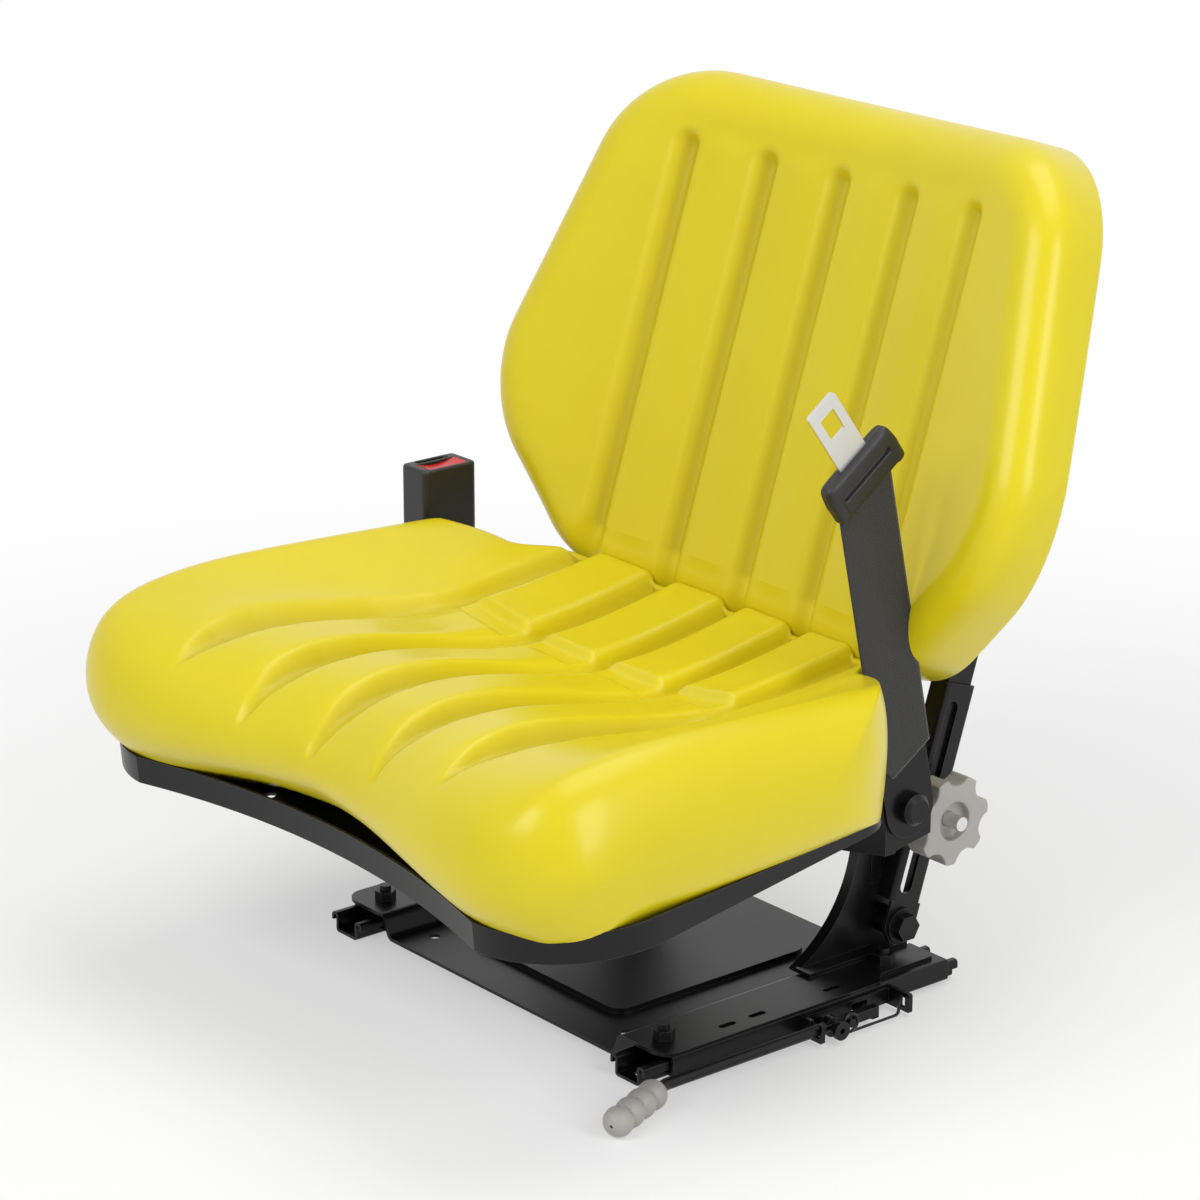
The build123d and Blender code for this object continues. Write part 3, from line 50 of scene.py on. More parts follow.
# Camera of the photograph
CAMERA_PLACE = (2.01698, -1.69080, 1.13621)
CAMERA_AIM = (0.0, -0.03622, 0.26635)
CAMERA_LENS = 123.28

# Studio
WORLD_FILL = 0.34
FLOOR_HALF, FLOOR_DROP = 8.0, 0.0005
FLOOR_FADE_FROM, FLOOR_FADE_TO, FLOOR_WHITE = 0.35, 1.25, 0.45
LAMPS = (
    ("key_lamp", (0.2, -2.5, 2.4), (0.0, 0.0, 0.25), (2.0, 1.8), 50.0),
    ("side_lamp", (2.6, 0.3, 1.5), (0.0, 0.0, 0.3), (1.0, 1.8), 30.0),
    ("top_lamp", (0.2, 0.6, 2.8), (0.0, 0.0, 0.3), (2.2, 1.6), 26.0),
)

# Both cushions, in millimetres
MILLIMETRE = 0.001
CHANNELS = np.array((-143.0, -71.0, 0.0, 71.0, 143.0))
# Channel depth at which the painted shade down in the channels is full
CHANNEL_SHADE_DEPTH = 10.0

# Seat cushion: its outline from above, its side view and its bolsters
SEAT_HALF, SEAT_NOSE_HALF = 266.0, 190.0
SEAT_NOSE, SEAT_NOSE_BOW, SEAT_CORNER = -277.0, 27.0, 58.0
SEAT_BASE, SEAT_BASE_BOW, SEAT_BASE_FLAT = -219.0, 49.0, 55.0
SEAT_CREASE, SEAT_CREASE_WING, SEAT_REAR_CORNER = 83.3, 41.8, 78.0
BELT_ROOM, BELT_ROOM_FROM, BELT_ROOM_TO = 30.0, 150.0, 184.0
SEAT_REAR_BULGE, SEAT_REAR_TUCK = 8.0, 4.0
SEAT_EDGE_SOFT, SEAT_EDGE_DROP = 3.0, 8.0
SEAT_FRONT_Z, SEAT_REAR_Z = 245.0, 235.0
SEAT_VALLEY_Y, SEAT_VALLEY_Z = -45.0, 221.0
NOSE_SOFT, NOSE_BRIM, NOSE_DROP = 62.0, 13.0, 20.0
NOSE_LEVEL, NOSE_LEVEL_FALL = 66.0, 18.0
BOLSTER_X, BOLSTER_RISE, BOLSTER_POWER = 230.0, 46.0, 2.5
BOLSTER_FRONT, BOLSTER_REAR, BOLSTER_TOP = 0.42, 0.55, 258.0
SEAT_HEM, SEAT_HEM_BAND, SEAT_HEM_ENDS = 1.6, (15.0, 19.0), (8.0, 40.0)
PAN_FRONT, PAN_FLOOR, PAN_SLOPE = -263.0, 146.6, math.tan(math.radians(5.2))

# Seat channels and ridges: half width and depth at places from front to rear
SEAT_CHANNEL_Y = (-284.0, -268.0, -245.0, -205.0, -160.0, -110.0, -58.0, -36.0, 0.0, 95.0)
SEAT_CHANNEL_HALF = (2.0, 6.0, 14.0, 20.0, 19.5, 17.0, 10.0, 9.0, 12.0, 13.0)
SEAT_CHANNEL_DEPTH = (0.0, 5.0, 9.0, 11.5, 11.5, 10.0, 6.0, 6.5, 8.5, 10.0)
SEAT_CHANNEL_FLOOR, SEAT_OUTER_WALL = 0.35, 1.5
SEAT_CHANNEL_FACING = (0.15, 0.7)
REAR_RIDGE, REAR_RIDGE_STEP = 6.0, (-38.0, -33.0)
FRONT_RIDGE, FRONT_RIDGE_STEP, FRONT_RIDGE_END = 3.4, (55.0, 58.5), (-286.0, -230.0)
RIDGE_BREAK_Y, RIDGE_FOOT, RIDGE_REAR_FULL, RIDGE_FRONT_FULL = -46.0, 4.0, 17.0, 24.0

# Seat grid
SEAT_FINE_STEP, SEAT_FINE_END, SEAT_COARSE_START, SEAT_COARSE_COUNT = 2.5, 172.0, 174.0, 15
SEAT_EDGE_TURN, SEAT_EDGE_COUNT = 89.0, 18
SEAT_WALL_COUNT, SEAT_TOP_COUNT, SEAT_BASE_COUNT = 25, 190, 17
SEAT_WALL_BLEND = 4

# Back cushion, in a frame that leans with the back: outline corners with their radii, faces, rolls and hem
BACK_CORNERS = ((170.0, 168.0, 92.0), (277.0, 274.0, 105.0), (213.0, 535.0, 90.0))
BACK_WING_HALF = 245.0
BACK_FACE, BACK_FACE_WING = -85.0, 44.0
BACK_REAR, BACK_REAR_WING = -16.4, 57.0
BACK_FRONT_ROLL, BACK_FOOT_TIGHT = 34.0, 13.0
BACK_HEM, BACK_HEM_ROLL, BACK_HEM_WIDE = 6.5, 5.0, 9.0
BACK_TUCK, BACK_TUCK_DROP = 0.4, 0.8
BACK_PIVOT = np.array((0.0, 107.0, 41.0))
BACK_LEAN = math.radians(18.0)
BACK_CHANNEL_TOP, BACK_CHANNEL_HALF = 478.0, 14.0
BACK_CHANNEL_DEPTH, BACK_CHANNEL_POWER, BACK_BRIM_POWER = 9.5, 1.25, 1.5
BACK_RIDGE, BACK_RIDGE_FLANK, BACK_RIDGE_END = 1.5, (8.0, 34.0), (476.0, 494.0)

# Back grid
BACK_ROWS, BACK_ROLL_COUNT, BACK_ARC_COUNT = 118, 11, 40
BACK_EVEN, BACK_EVEN_COUNT, BACK_SIDE_COUNT = 126.0, 101, 27

# Belt
BELT_BOLT = Vector((0.0, 0.076, 0.146))
BELT_LEAN = math.radians(12.0)
TONGUE_LEAN = math.radians(36.0)
BELT_WIDTH = 0.048
STRAP_FOOT = 0.014
STRAP_EDGE_THIN, STRAP_EDGE_POWER = 0.45, 6
STRAP_ROWS, STRAP_COLUMNS = 90, 24
RIB_PITCH, TWILL_PITCH = 0.0022, 0.0026

# Tongue cover: shares of its half width and half height
COVER_ROWS, COVER_COLUMNS = 72, 96
COVER_SIDE_POWER, COVER_END_POWER, COVER_ROUND = 9, 7, 0.28
COVER_SLOT_HALF, COVER_SLOT_RISE, COVER_SLOT_MIDDLE, COVER_SLOT_DEPTH = 0.70, 0.13, 0.02, 0.7
COVER_SEAT_HALF, COVER_SEAT_TOP, COVER_SEAT_DEPTH = 0.76, -0.1, 0.25
COVER_TAPER, COVER_CORNER, COVER_CORNER_POWER = 0.04, 0.06, 12
SLOT_SIDE_SOFT, SLOT_EDGE_SOFT, SEAT_EDGE_FADE = 0.03, 0.05, 0.04

# Rounded mouldings: skin cell and smoothing passes
KNOB_CELL, KNOB_PASSES = 0.0008, 10
BUCKLE_CELL, BUCKLE_PASSES = 0.0009, 4
WELD = 1e-6

# Lever grip
GRIP_BALLS, GRIP_BALL, GRIP_WAIST = 4, 0.0101, 0.0072
GRIP_HOLE, GRIP_HOLE_DEEP = 0.0014, 0.006
GRIP_RINGS, GRIP_AROUND, GRIP_LEAST = 121, 48, 0.0004

# Finishes
EDGE_REACH = 0.0009
# Grey of rubbed paint edges, which also paints a highlight along them, and the colour of dust
PAINT_WORN_AND_HIGHLIT, PAINT_DUST = (112, 112, 114), (92, 88, 80)
TONE_BAND, ROUGH_BAND = (0.35, 0.7), (0.3, 0.7)


def linear(red, green, blue):
    """A colour as it is seen on screen, from 0 to 255, for a shader."""
    shares = (red / 255, green / 255, blue / 255)
    return tuple(c / 12.92 if c <= 0.04 else ((c + 0.055) / 1.055) ** 2.4 for c in shares) + (1.0,)


class Wiring:
    """Places nodes in one tree and joins them."""

    def __init__(self, tree):
        self.tree = tree

    def add(self, kind, inputs=None, **settings):
        made = self.tree.nodes.new(kind)
        for key, value in settings.items():
            setattr(made, key, value)
        for key, value in (inputs or {}).items():
            self.feed(value, made.inputs[key])
        return made

    def feed(self, value, socket):
        if isinstance(value, bpy.types.NodeSocket):
            self.tree.links.new(value, socket)
        else:
            socket.default_value = value

    def math(self, operation, a, b=0.0):
        return self.add("ShaderNodeMath", {0: a, 1: b}, operation=operation).outputs[0]

    def mix(self, amount, a, b):
        made = self.add("ShaderNodeMix", data_type="RGBA")
        self.feed(amount, made.inputs[0])
        self.feed(a, made.inputs[6])
        self.feed(b, made.inputs[7])
        return made.outputs[2]

    def noise(self, place, scale, detail=2.0, roughness=0.5):
        return self.add(
            "ShaderNodeTexNoise",
            {"Vector": place, "Scale": scale, "Detail": detail, "Roughness": roughness},
        ).outputs["Fac"]

    def span(self, value, low, high, to_low=0.0, to_high=1.0):
        return self.add(
            "ShaderNodeMapRange",
            {"Value": value, "From Min": low, "From Max": high, "To Min": to_low, "To Max": to_high},
        ).outputs["Result"]

    def seen_rays(self):
        """1 for what the camera sees, straight on, mirrored or through glass."""
        rays = self.add("ShaderNodeLightPath").outputs
        beside = self.math("MAXIMUM", rays["Is Glossy Ray"], rays["Is Transmission Ray"])
        return self.math("MAXIMUM", rays["Is Camera Ray"], beside)


def node_group(name, inputs, outputs):
    """An empty shader group with named value sockets."""
    tree = bpy.data.node_groups.new(name, "ShaderNodeTree")
    for title, default in inputs:
        socket = tree.interface.new_socket(title, in_out="INPUT", socket_type="NodeSocketFloat")
        socket.default_value = default
    for title in outputs:
        tree.interface.new_socket(title, in_out="OUTPUT", socket_type="NodeSocketFloat")
    wires = Wiring(tree)
    return tree, wires, wires.add("NodeGroupInput").outputs, wires.add("NodeGroupOutput").inputs


def make_grain_group():
    """Pebbled surface of moulded or coated parts: a height, and a tone that goes with it."""
    inputs = [("Cell", 900.0), ("Fine", 0.4)]
    tree, wires, given, result = node_group("pebble_grain", inputs, ["Height", "Tone"])
    place = wires.add("ShaderNodeTexCoord").outputs["Object"]
    sized = {"Vector": place, "Scale": given["Cell"]}
    cells = wires.add("ShaderNodeTexVoronoi", sized, feature="F1")
    pebbles = wires.span(cells.outputs["Distance"], 0.05, 0.6, 1.0, 0.0)
    fine = wires.noise(place, wires.math("MULTIPLY", given["Cell"], 2.7), 3.0, 0.6)
    height = wires.math("ADD", pebbles, wires.math("MULTIPLY", fine, given["Fine"]))
    wires.feed(height, result["Height"])
    wires.feed(wires.noise(place, 7.0, 4.0, 0.6), result["Tone"])
    return tree


def make_edge_wear_and_highlight_group():
    """Bare and rubbed edges, which also paint a highlight along every edge, and dust on what faces up."""
    inputs = [("Reach", EDGE_REACH), ("Dust", 0.3)]
    tree, wires, given, result = node_group("rubbed_and_highlit_edges", inputs, ["Edge", "Dust"])
    place = wires.add("ShaderNodeTexCoord").outputs["Object"]
    geometry = wires.add("ShaderNodeNewGeometry")
    bevel_normal = wires.add("ShaderNodeBevel", {"Radius": given["Reach"]}, samples=4).outputs["Normal"]
    facing = {0: bevel_normal, 1: geometry.outputs["Normal"]}
    turned = wires.add("ShaderNodeVectorMath", facing, operation="DOT_PRODUCT")
    sharp = wires.math("SUBTRACT", 1.0, turned.outputs["Value"])
    broken = wires.noise(place, 160.0, 4.0, 0.65)
    # Edge mask: rubbed paint, and a painted highlight along the edges
    edge = wires.math("MULTIPLY", wires.span(sharp, 0.03, 0.2), wires.span(broken, 0.3, 0.6, 0.35, 1.0))
    wires.feed(edge, result["Edge"])
    up = wires.add("ShaderNodeSeparateXYZ", {0: geometry.outputs["Normal"]}).outputs["Z"]
    patches = wires.noise(place, 38.0, 5.0, 0.6)
    dust = wires.math("MULTIPLY", wires.span(up, 0.2, 1.0), wires.span(patches, 0.3, 0.75))
    wires.feed(wires.math("MULTIPLY", dust, given["Dust"]), result["Dust"])
    return tree


GRAIN = make_grain_group()
EDGE_WEAR_AND_HIGHLIGHT = make_edge_wear_and_highlight_group()


def new_material(name):
    """A material with its wiring and its shader."""
    material = bpy.data.materials.new(name)
    material.use_nodes = True
    wires = Wiring(material.node_tree)
    material.node_tree.nodes.clear()
    shader = wires.add("ShaderNodeBsdfPrincipled")
    wires.add("ShaderNodeOutputMaterial", {"Surface": shader.outputs[0]})
    return material, wires, shader


def place_group(wires, group, **values):
    """A shared group in one material, with that material's own values."""
    made = wires.add("ShaderNodeGroup", node_tree=group)
    for key, value in values.items():
        made.inputs[key].default_value = value
    return made.outputs


def bumped(wires, shader, height, strength, distance):
    """Relief from a height on one shader."""
    bump = wires.add("ShaderNodeBump", {"Height": height, "Strength": strength, "Distance": distance})
    wires.feed(bump.outputs["Normal"], shader.inputs["Normal"])


def yellow_vinyl():
    """Satin yellow PVC with a fine skin grain, with painted shade darkening it down in the channels, which
    are also a little duller.
    """
    material, wires, shader = new_material("yellow_vinyl")
    grain = place_group(wires, GRAIN, Cell=1100.0, Fine=0.5)
    channel_shade_mask = wires.add("ShaderNodeAttribute", attribute_name="channel").outputs["Fac"]
    lit = wires.mix(wires.span(grain["Tone"], *TONE_BAND), linear(220, 203, 24), linear(216, 198, 20))
    # Painted shade: the yellow turns olive down in the channels, by their depth.
    colour = wires.mix(wires.math("MULTIPLY", channel_shade_mask, 0.55), lit, linear(176, 158, 10))
    wires.feed(colour, shader.inputs["Base Color"])
    skin = wires.span(grain["Tone"], *ROUGH_BAND, 0.29, 0.34)
    rough = wires.math("ADD", skin, wires.math("MULTIPLY", channel_shade_mask, 0.10))
    wires.feed(rough, shader.inputs["Roughness"])
    shader.inputs["Specular IOR Level"].default_value = 0.3
    shader.inputs["Coat Weight"].default_value = 0.12
    shader.inputs["Coat Roughness"].default_value = 0.13
    bumped(wires, shader, grain["Height"], 0.10, 0.0003)
    return material


def black_paint(name, colour, rough, dust):
    """Black paint on pressed steel, grey at the edges as rubbed paint and painted highlight, with a trace
    of dust.
    """
    material, wires, shader = new_material(name)
    grain = place_group(wires, GRAIN, Cell=1300.0, Fine=0.8)
    wear_and_highlight = place_group(wires, EDGE_WEAR_AND_HIGHLIGHT, Reach=EDGE_REACH, Dust=dust)
    paler = linear(*(c + 3 for c in colour))
    toned = wires.mix(wires.span(grain["Tone"], *TONE_BAND), linear(*colour), paler)
    # Grey edges: rubbed paint, and a painted highlight along them
    rubbed_and_highlit = wires.mix(wires.math("MULTIPLY", wear_and_highlight["Edge"], 0.45), toned, linear(*PAINT_WORN_AND_HIGHLIT))
    dusty = wires.mix(wear_and_highlight["Dust"], rubbed_and_highlit, linear(*PAINT_DUST))
    wires.feed(dusty, shader.inputs["Base Color"])
    base = wires.span(grain["Tone"], *ROUGH_BAND, rough - 0.02, rough + 0.03)
    dulled = wires.math("ADD", base, wires.math("MULTIPLY", wear_and_highlight["Dust"], 0.5))
    wires.feed(dulled, shader.inputs["Roughness"])
    shader.inputs["Specular IOR Level"].default_value = 0.28
    bumped(wires, shader, grain["Height"], 0.02, 0.0002)
    return material


def moulded_plastic(name, colour, rough, cell, strength):
    """Moulded plastic with a spark-eroded texture and paler edges, rubbed and with a painted highlight."""
    material, wires, shader = new_material(name)
    grain = place_group(wires, GRAIN, Cell=cell, Fine=0.7)
    wear_and_highlight = place_group(wires, EDGE_WEAR_AND_HIGHLIGHT, Reach=EDGE_REACH, Dust=0.02)
    paler = linear(*(min(255, c + 5) for c in colour))
    palest = linear(*(min(255, c + 22) for c in colour))
    toned = wires.mix(wires.span(grain["Tone"], *TONE_BAND), linear(*colour), paler)
    # Paler edges: rubbed, and a painted highlight along them
    rubbed_and_highlit = wires.mix(wires.math("MULTIPLY", wear_and_highlight["Edge"], 0.5), toned, palest)
    wires.feed(rubbed_and_highlit, shader.inputs["Base Color"])
    matt = wires.span(grain["Tone"], *ROUGH_BAND, rough - 0.05, rough + 0.06)
    wires.feed(matt, shader.inputs["Roughness"])
    bumped(wires, shader, grain["Height"], strength, 0.0003)
    return material


def plated_steel():
    """Bright zinc-plated steel with fine drawn lines."""
    material, wires, shader = new_material("plated_steel")
    place = wires.add("ShaderNodeTexCoord").outputs["Object"]
    stretched = wires.add("ShaderNodeMapping", {"Vector": place, "Scale": (1800.0, 60.0, 1800.0)})
    lines = wires.noise(stretched.outputs[0], 1.0, 3.0, 0.6)
    grain = place_group(wires, GRAIN, Cell=260.0, Fine=0.6)
    tone = wires.span(grain["Tone"], *ROUGH_BAND)
    toned = wires.mix(tone, linear(226, 226, 224), linear(208, 208, 205))
    wires.feed(toned, shader.inputs["Base Color"])
    shader.inputs["Metallic"].default_value = 0.85
    wires.feed(wires.span(lines, 0.2, 0.8, 0.26, 0.42), shader.inputs["Roughness"])
    bumped(wires, shader, lines, 0.08, 0.0002)
    return material


def belt_weave():
    """Twill-woven black webbing, drawn along the strap's own directions."""
    material, wires, shader = new_material("belt_weave")
    across = wires.add("ShaderNodeAttribute", attribute_name="across").outputs["Fac"]
    along = wires.add("ShaderNodeAttribute", attribute_name="along").outputs["Fac"]
    ribs = wires.math("SINE", wires.math("MULTIPLY", across, 2 * math.pi / RIB_PITCH))
    slant = wires.math("ADD", along, wires.math("ABSOLUTE", across))
    twill = wires.math("SINE", wires.math("MULTIPLY", slant, 2 * math.pi / TWILL_PITCH))
    cloth = wires.math("ADD", wires.math("MULTIPLY", ribs, 0.4), wires.math("MULTIPLY", twill, 0.6))
    height = wires.span(cloth, -1.0, 1.0)
    tone = place_group(wires, GRAIN, Cell=2400.0, Fine=1.0)
    fuzz = wires.math("MULTIPLY", tone["Height"], 0.25)
    raised = wires.math("ADD", wires.math("MULTIPLY", height, 0.6), fuzz)
    # Painted shade in the weave: darker down between the threads, paler on the raised ones
    colour = wires.mix(raised, linear(20, 20, 21), linear(52, 52, 53))
    wires.feed(colour, shader.inputs["Base Color"])
    shader.inputs["Roughness"].default_value = 0.72
    shader.inputs["Sheen Weight"].default_value = 0.25
    shader.inputs["Sheen Roughness"].default_value = 0.4
    bumped(wires, shader, height, 0.5, 0.0005)
    return material


MATERIALS = {
    "yellow_cover": yellow_vinyl(),
    "black_steel": black_paint("black_paint", (12, 12, 13), 0.30, 0.006),
    "black_fastener": black_paint("black_oxide", (14, 14, 15), 0.34, 0.006),
    "bright_steel": plated_steel(),
    "black_plastic": moulded_plastic("black_moulding", (20, 20, 21), 0.44, 900.0, 0.12),
    "grey_plastic": moulded_plastic("grey_moulding", (168, 166, 161), 0.48, 800.0, 0.14),
    "red_plastic": moulded_plastic("red_moulding", (200, 24, 26), 0.28, 500.0, 0.04),
    "webbing": belt_weave(),
    "nylon": moulded_plastic("pale_nylon", (222, 219, 210), 0.50, 700.0, 0.08),
}


def dress(obj, slot):
    """Gives one piece the finish of a material slot."""
    obj.data.materials.clear()
    obj.data.materials.append(MATERIALS[slot])


def make_camera():
    """The photograph's camera."""
    data = bpy.data.cameras.new("photo_camera")
    data.sensor_width = 36.0
    data.lens = CAMERA_LENS
    data.clip_start = 0.05
    data.clip_end = 60.0
    camera = bpy.data.objects.new("photo_camera", data)
    camera.location = CAMERA_PLACE
    camera.rotation_mode = "QUATERNION"
    camera.rotation_quaternion = (Vector(CAMERA_AIM) - Vector(CAMERA_PLACE)).to_track_quat("-Z", "Y")
    bpy.context.scene.collection.objects.link(camera)
    bpy.context.scene.camera = camera


def soft_lamp(name, place, aim, size, power):
    """One large soft studio lamp."""
    data = bpy.data.lights.new(name, "AREA")
    data.shape = "RECTANGLE"
    data.size, data.size_y = size
    data.energy = power
    lamp = bpy.data.objects.new(name, data)
    lamp.location = place
    lamp.rotation_mode = "QUATERNION"
    lamp.rotation_quaternion = (Vector(aim) - Vector(place)).to_track_quat("-Z", "Y")
    bpy.context.scene.collection.objects.link(lamp)


def make_studio():
    """White surround, pale floor and soft lamps."""
    world = bpy.data.worlds.new("studio")
    bpy.context.scene.world = world
    world.use_nodes = True
    wires = Wiring(world.node_tree)
    world.node_tree.nodes.clear()
    level = wires.span(wires.seen_rays(), 0.0, 1.0, WORLD_FILL, 1.0)
    sky = wires.add("ShaderNodeBackground", {"Color": (1.0, 1.0, 1.0, 1.0), "Strength": level})
    wires.add("ShaderNodeOutputWorld", {"Surface": sky.outputs[0]})
    make_floor()
    for name, place, aim, size, power in LAMPS:
        soft_lamp(name, place, aim, size, power)


def make_floor():
    """Pale floor that keeps the shadow and runs out into the white surround."""
    mesh = bpy.data.meshes.new("pale_floor")
    signs = ((-1, -1), (1, -1), (1, 1), (-1, 1))
    corners = [(FLOOR_HALF * x, FLOOR_HALF * y, -FLOOR_DROP) for x, y in signs]
    mesh.from_pydata(corners, [], [(0, 1, 2, 3)])
    floor = new_object("pale_floor", mesh)
    material, wires, shader = new_material("pale_floor")
    shader.inputs["Base Color"].default_value = (0.92, 0.92, 0.92, 1.0)
    shader.inputs["Roughness"].default_value = 0.9
    shader.inputs["Specular IOR Level"].default_value = 0.0
    place = wires.add("ShaderNodeTexCoord").outputs["Object"]
    away = wires.add("ShaderNodeVectorMath", {0: place}, operation="LENGTH").outputs["Value"]
    fade = {"Value": away, "From Min": FLOOR_FADE_FROM, "From Max": FLOOR_FADE_TO}
    far = wires.add("ShaderNodeMapRange", fade, interpolation_type="SMOOTHSTEP")
    whiter = wires.span(far.outputs["Result"], 0.0, 1.0, FLOOR_WHITE, 1.0)
    share = wires.math("MULTIPLY", whiter, wires.seen_rays())
    white = wires.add("ShaderNodeEmission", {"Color": (1.0, 1.0, 1.0, 1.0), "Strength": 1.0})
    blend = wires.add("ShaderNodeMixShader", {0: share, 1: shader.outputs[0], 2: white.outputs[0]})
    output = next(node for node in material.node_tree.nodes if node.type == "OUTPUT_MATERIAL")
    wires.feed(blend.outputs[0], output.inputs["Surface"])
    floor.data.materials.append(material)


def new_object(name, mesh):
    """A new object in the scene for a mesh."""
    obj = bpy.data.objects.new(name, mesh)
    bpy.context.scene.collection.objects.link(obj)
    return obj


def points_of(mesh):
    """Places of a mesh's vertices, one row each."""
    flat = np.zeros(len(mesh.vertices) * 3)
    mesh.vertices.foreach_get("co", flat)
    return flat.reshape(-1, 3)


def ramp(value, low, high):
    """Smooth step from 0 at low to 1 at high."""
    t = np.clip((value - low) / (high - low), 0.0, 1.0)
    return t * t * (3 - 2 * t)


def eased(value, start, end):
    """Cosine rise from 0 to 1 between two places."""
    return (1 - np.cos(np.pi * np.clip((value - start) / (end - start), 0.0, 1.0))) / 2


def rolled(value, start, end):
    """Quarter-round fall from 0 to 1 between two places."""
    return 1 - np.sqrt(np.maximum(1 - np.clip((value - start) / (end - start), 0.0, 1.0) ** 2, 0.0))


def channel_distance(x):
    """Distance across from the nearest channel's line."""
    return np.min(np.abs(x[..., None] - CHANNELS), axis=-1)


def through_points(knots, count):
    """A smooth line through a few points: a natural cubic over their spacing."""
    knots = np.asarray(knots, float)
    gaps = np.linalg.norm(np.diff(knots, axis=0), axis=1)
    place = np.concatenate(([0.0], np.cumsum(gaps)))
    size = len(knots)
    rows = np.eye(size)
    right = np.zeros_like(knots)
    for i in range(1, size - 1):
        rows[i, i - 1:i + 2] = gaps[i - 1], 2 * (gaps[i - 1] + gaps[i]), gaps[i]
        right[i] = 6 * ((knots[i + 1] - knots[i]) / gaps[i] - (knots[i] - knots[i - 1]) / gaps[i - 1])
    bend = np.linalg.solve(rows, right)
    at = np.linspace(0.0, place[-1], count)
    i = np.clip(np.searchsorted(place, at, side="right") - 1, 0, size - 2)
    left, rest, gap = (at - place[i])[:, None], (place[i + 1] - at)[:, None], gaps[i][:, None]
    return (
        bend[i] * rest ** 3 / (6 * gap) + bend[i + 1] * left ** 3 / (6 * gap)
        + (knots[i] / gap - bend[i] * gap / 6) * rest + (knots[i + 1] / gap - bend[i + 1] * gap / 6) * left
    )


def cushion_mesh(name, verts, faces, channel, node, body):
    """A cushion from a grid in millimetres: keeps the channel depth for the painted shade and duller finish
    down in the channels, and rides on a body.
    """
    mesh = bpy.data.meshes.new(name)
    mesh.from_pydata((np.asarray(verts) * MILLIMETRE).tolist(), [], faces)
    # Channel depth, read by the vinyl as painted shade down in the channels
    kept = mesh.attributes.new("channel", "FLOAT", "POINT")
    kept.data.foreach_set("value", np.asarray(channel, np.float32))
    work = bmesh.new()
    work.from_mesh(mesh)
    bmesh.ops.recalc_face_normals(work, faces=work.faces)
    work.to_mesh(mesh)
    work.free()
    mesh.polygons.foreach_set("use_smooth", [True] * len(mesh.polygons))
    obj = new_object(name, mesh)
    carried(obj, node, "yellow_cover", body)


def tube_faces(rings, count):
    """Faces between rings of points that follow each other."""
    faces = []
    for row in range(rings - 1):
        for i in range(count):
            j = (i + 1) % count
            faces.append((row * count + i, row * count + j, (row + 1) * count + j, (row + 1) * count + i))
    return faces


def pan_floor(y):
    """Height of the seat pan's floor under the cushion."""
    return PAN_FLOOR + PAN_SLOPE * (y - PAN_FRONT)


def seat_profile(x):
    """Side view of the seat cushion at one place across, from rear foot to front foot, without channels."""
    across = abs(x)
    corner = rolled(across, SEAT_NOSE_HALF, SEAT_HALF)
    front = SEAT_NOSE - SEAT_NOSE_BOW * eased(across, 0.0, SEAT_NOSE_HALF) + SEAT_CORNER * corner
    base = SEAT_BASE - SEAT_BASE_BOW * eased(across, SEAT_BASE_FLAT, SEAT_NOSE_HALF) + SEAT_CORNER * corner
    crease = SEAT_CREASE - SEAT_CREASE_WING * (across / BACK_WING_HALF) ** 2
    crease -= BELT_ROOM * ramp(across, BELT_ROOM_FROM, BELT_ROOM_TO) + SEAT_REAR_CORNER * corner
    rear = crease + SEAT_REAR_BULGE
    narrow = min(across / SEAT_NOSE_HALF, 1.0)
    rise = BOLSTER_RISE * (min(across, BOLSTER_X) / BOLSTER_X) ** BOLSTER_POWER
    top_front = SEAT_FRONT_Z + BOLSTER_FRONT * rise
    top_rear = SEAT_REAR_Z + BOLSTER_REAR * rise
    valley = SEAT_VALLEY_Y + ((front + rear) / 2 - SEAT_VALLEY_Y) * narrow
    wall = through_points((
        (rear - SEAT_REAR_TUCK, pan_floor(rear)),
        (rear, (pan_floor(rear) + top_rear) / 2),
        (crease + SEAT_EDGE_SOFT, top_rear - SEAT_EDGE_DROP),
        (crease, top_rear),
    ), SEAT_WALL_COUNT)
    top = through_points((
        (crease, top_rear),
        (valley, SEAT_VALLEY_Z + rise),
        (front + NOSE_SOFT, top_front),
        (front + NOSE_BRIM, top_front - NOSE_DROP),
        (front, pan_floor(front) + NOSE_LEVEL - NOSE_LEVEL_FALL * narrow),
        (base, pan_floor(base)),
    ), SEAT_TOP_COUNT)
    line = np.concatenate((wall[:-1], top))
    flat = 1.0 - rolled(across, BOLSTER_X, SEAT_HALF)
    middle = (pan_floor(line[:, 0]) + BOLSTER_TOP) / 2
    line[:, 1] = middle + (line[:, 1] - middle) * flat
    return line


def seat_channels(x, y):
    """Depth of the seat's channels, and the crown of the ridges, which break at a flat in the hollow."""
    half = np.interp(y, SEAT_CHANNEL_Y, SEAT_CHANNEL_HALF)
    depth = np.interp(y, SEAT_CHANNEL_Y, SEAT_CHANNEL_DEPTH)
    apart = channel_distance(x)
    outside = np.abs(x) > CHANNELS[-1]
    wall = np.where(outside, half * SEAT_OUTER_WALL, half)
    cut = depth * (1.0 - ramp(apart, SEAT_CHANNEL_FLOOR * half, wall))
    rear_ridge = REAR_RIDGE * ramp(y, *REAR_RIDGE_STEP)
    front_ridge = FRONT_RIDGE * ramp(-y, *FRONT_RIDGE_STEP) * ramp(y, *FRONT_RIDGE_END)
    full = np.where(y > RIDGE_BREAK_Y, RIDGE_REAR_FULL, RIDGE_FRONT_FULL)
    crown = np.where(outside, 0.0, (rear_ridge + front_ridge) * ramp(apart, RIDGE_FOOT, full))
    return cut, crown


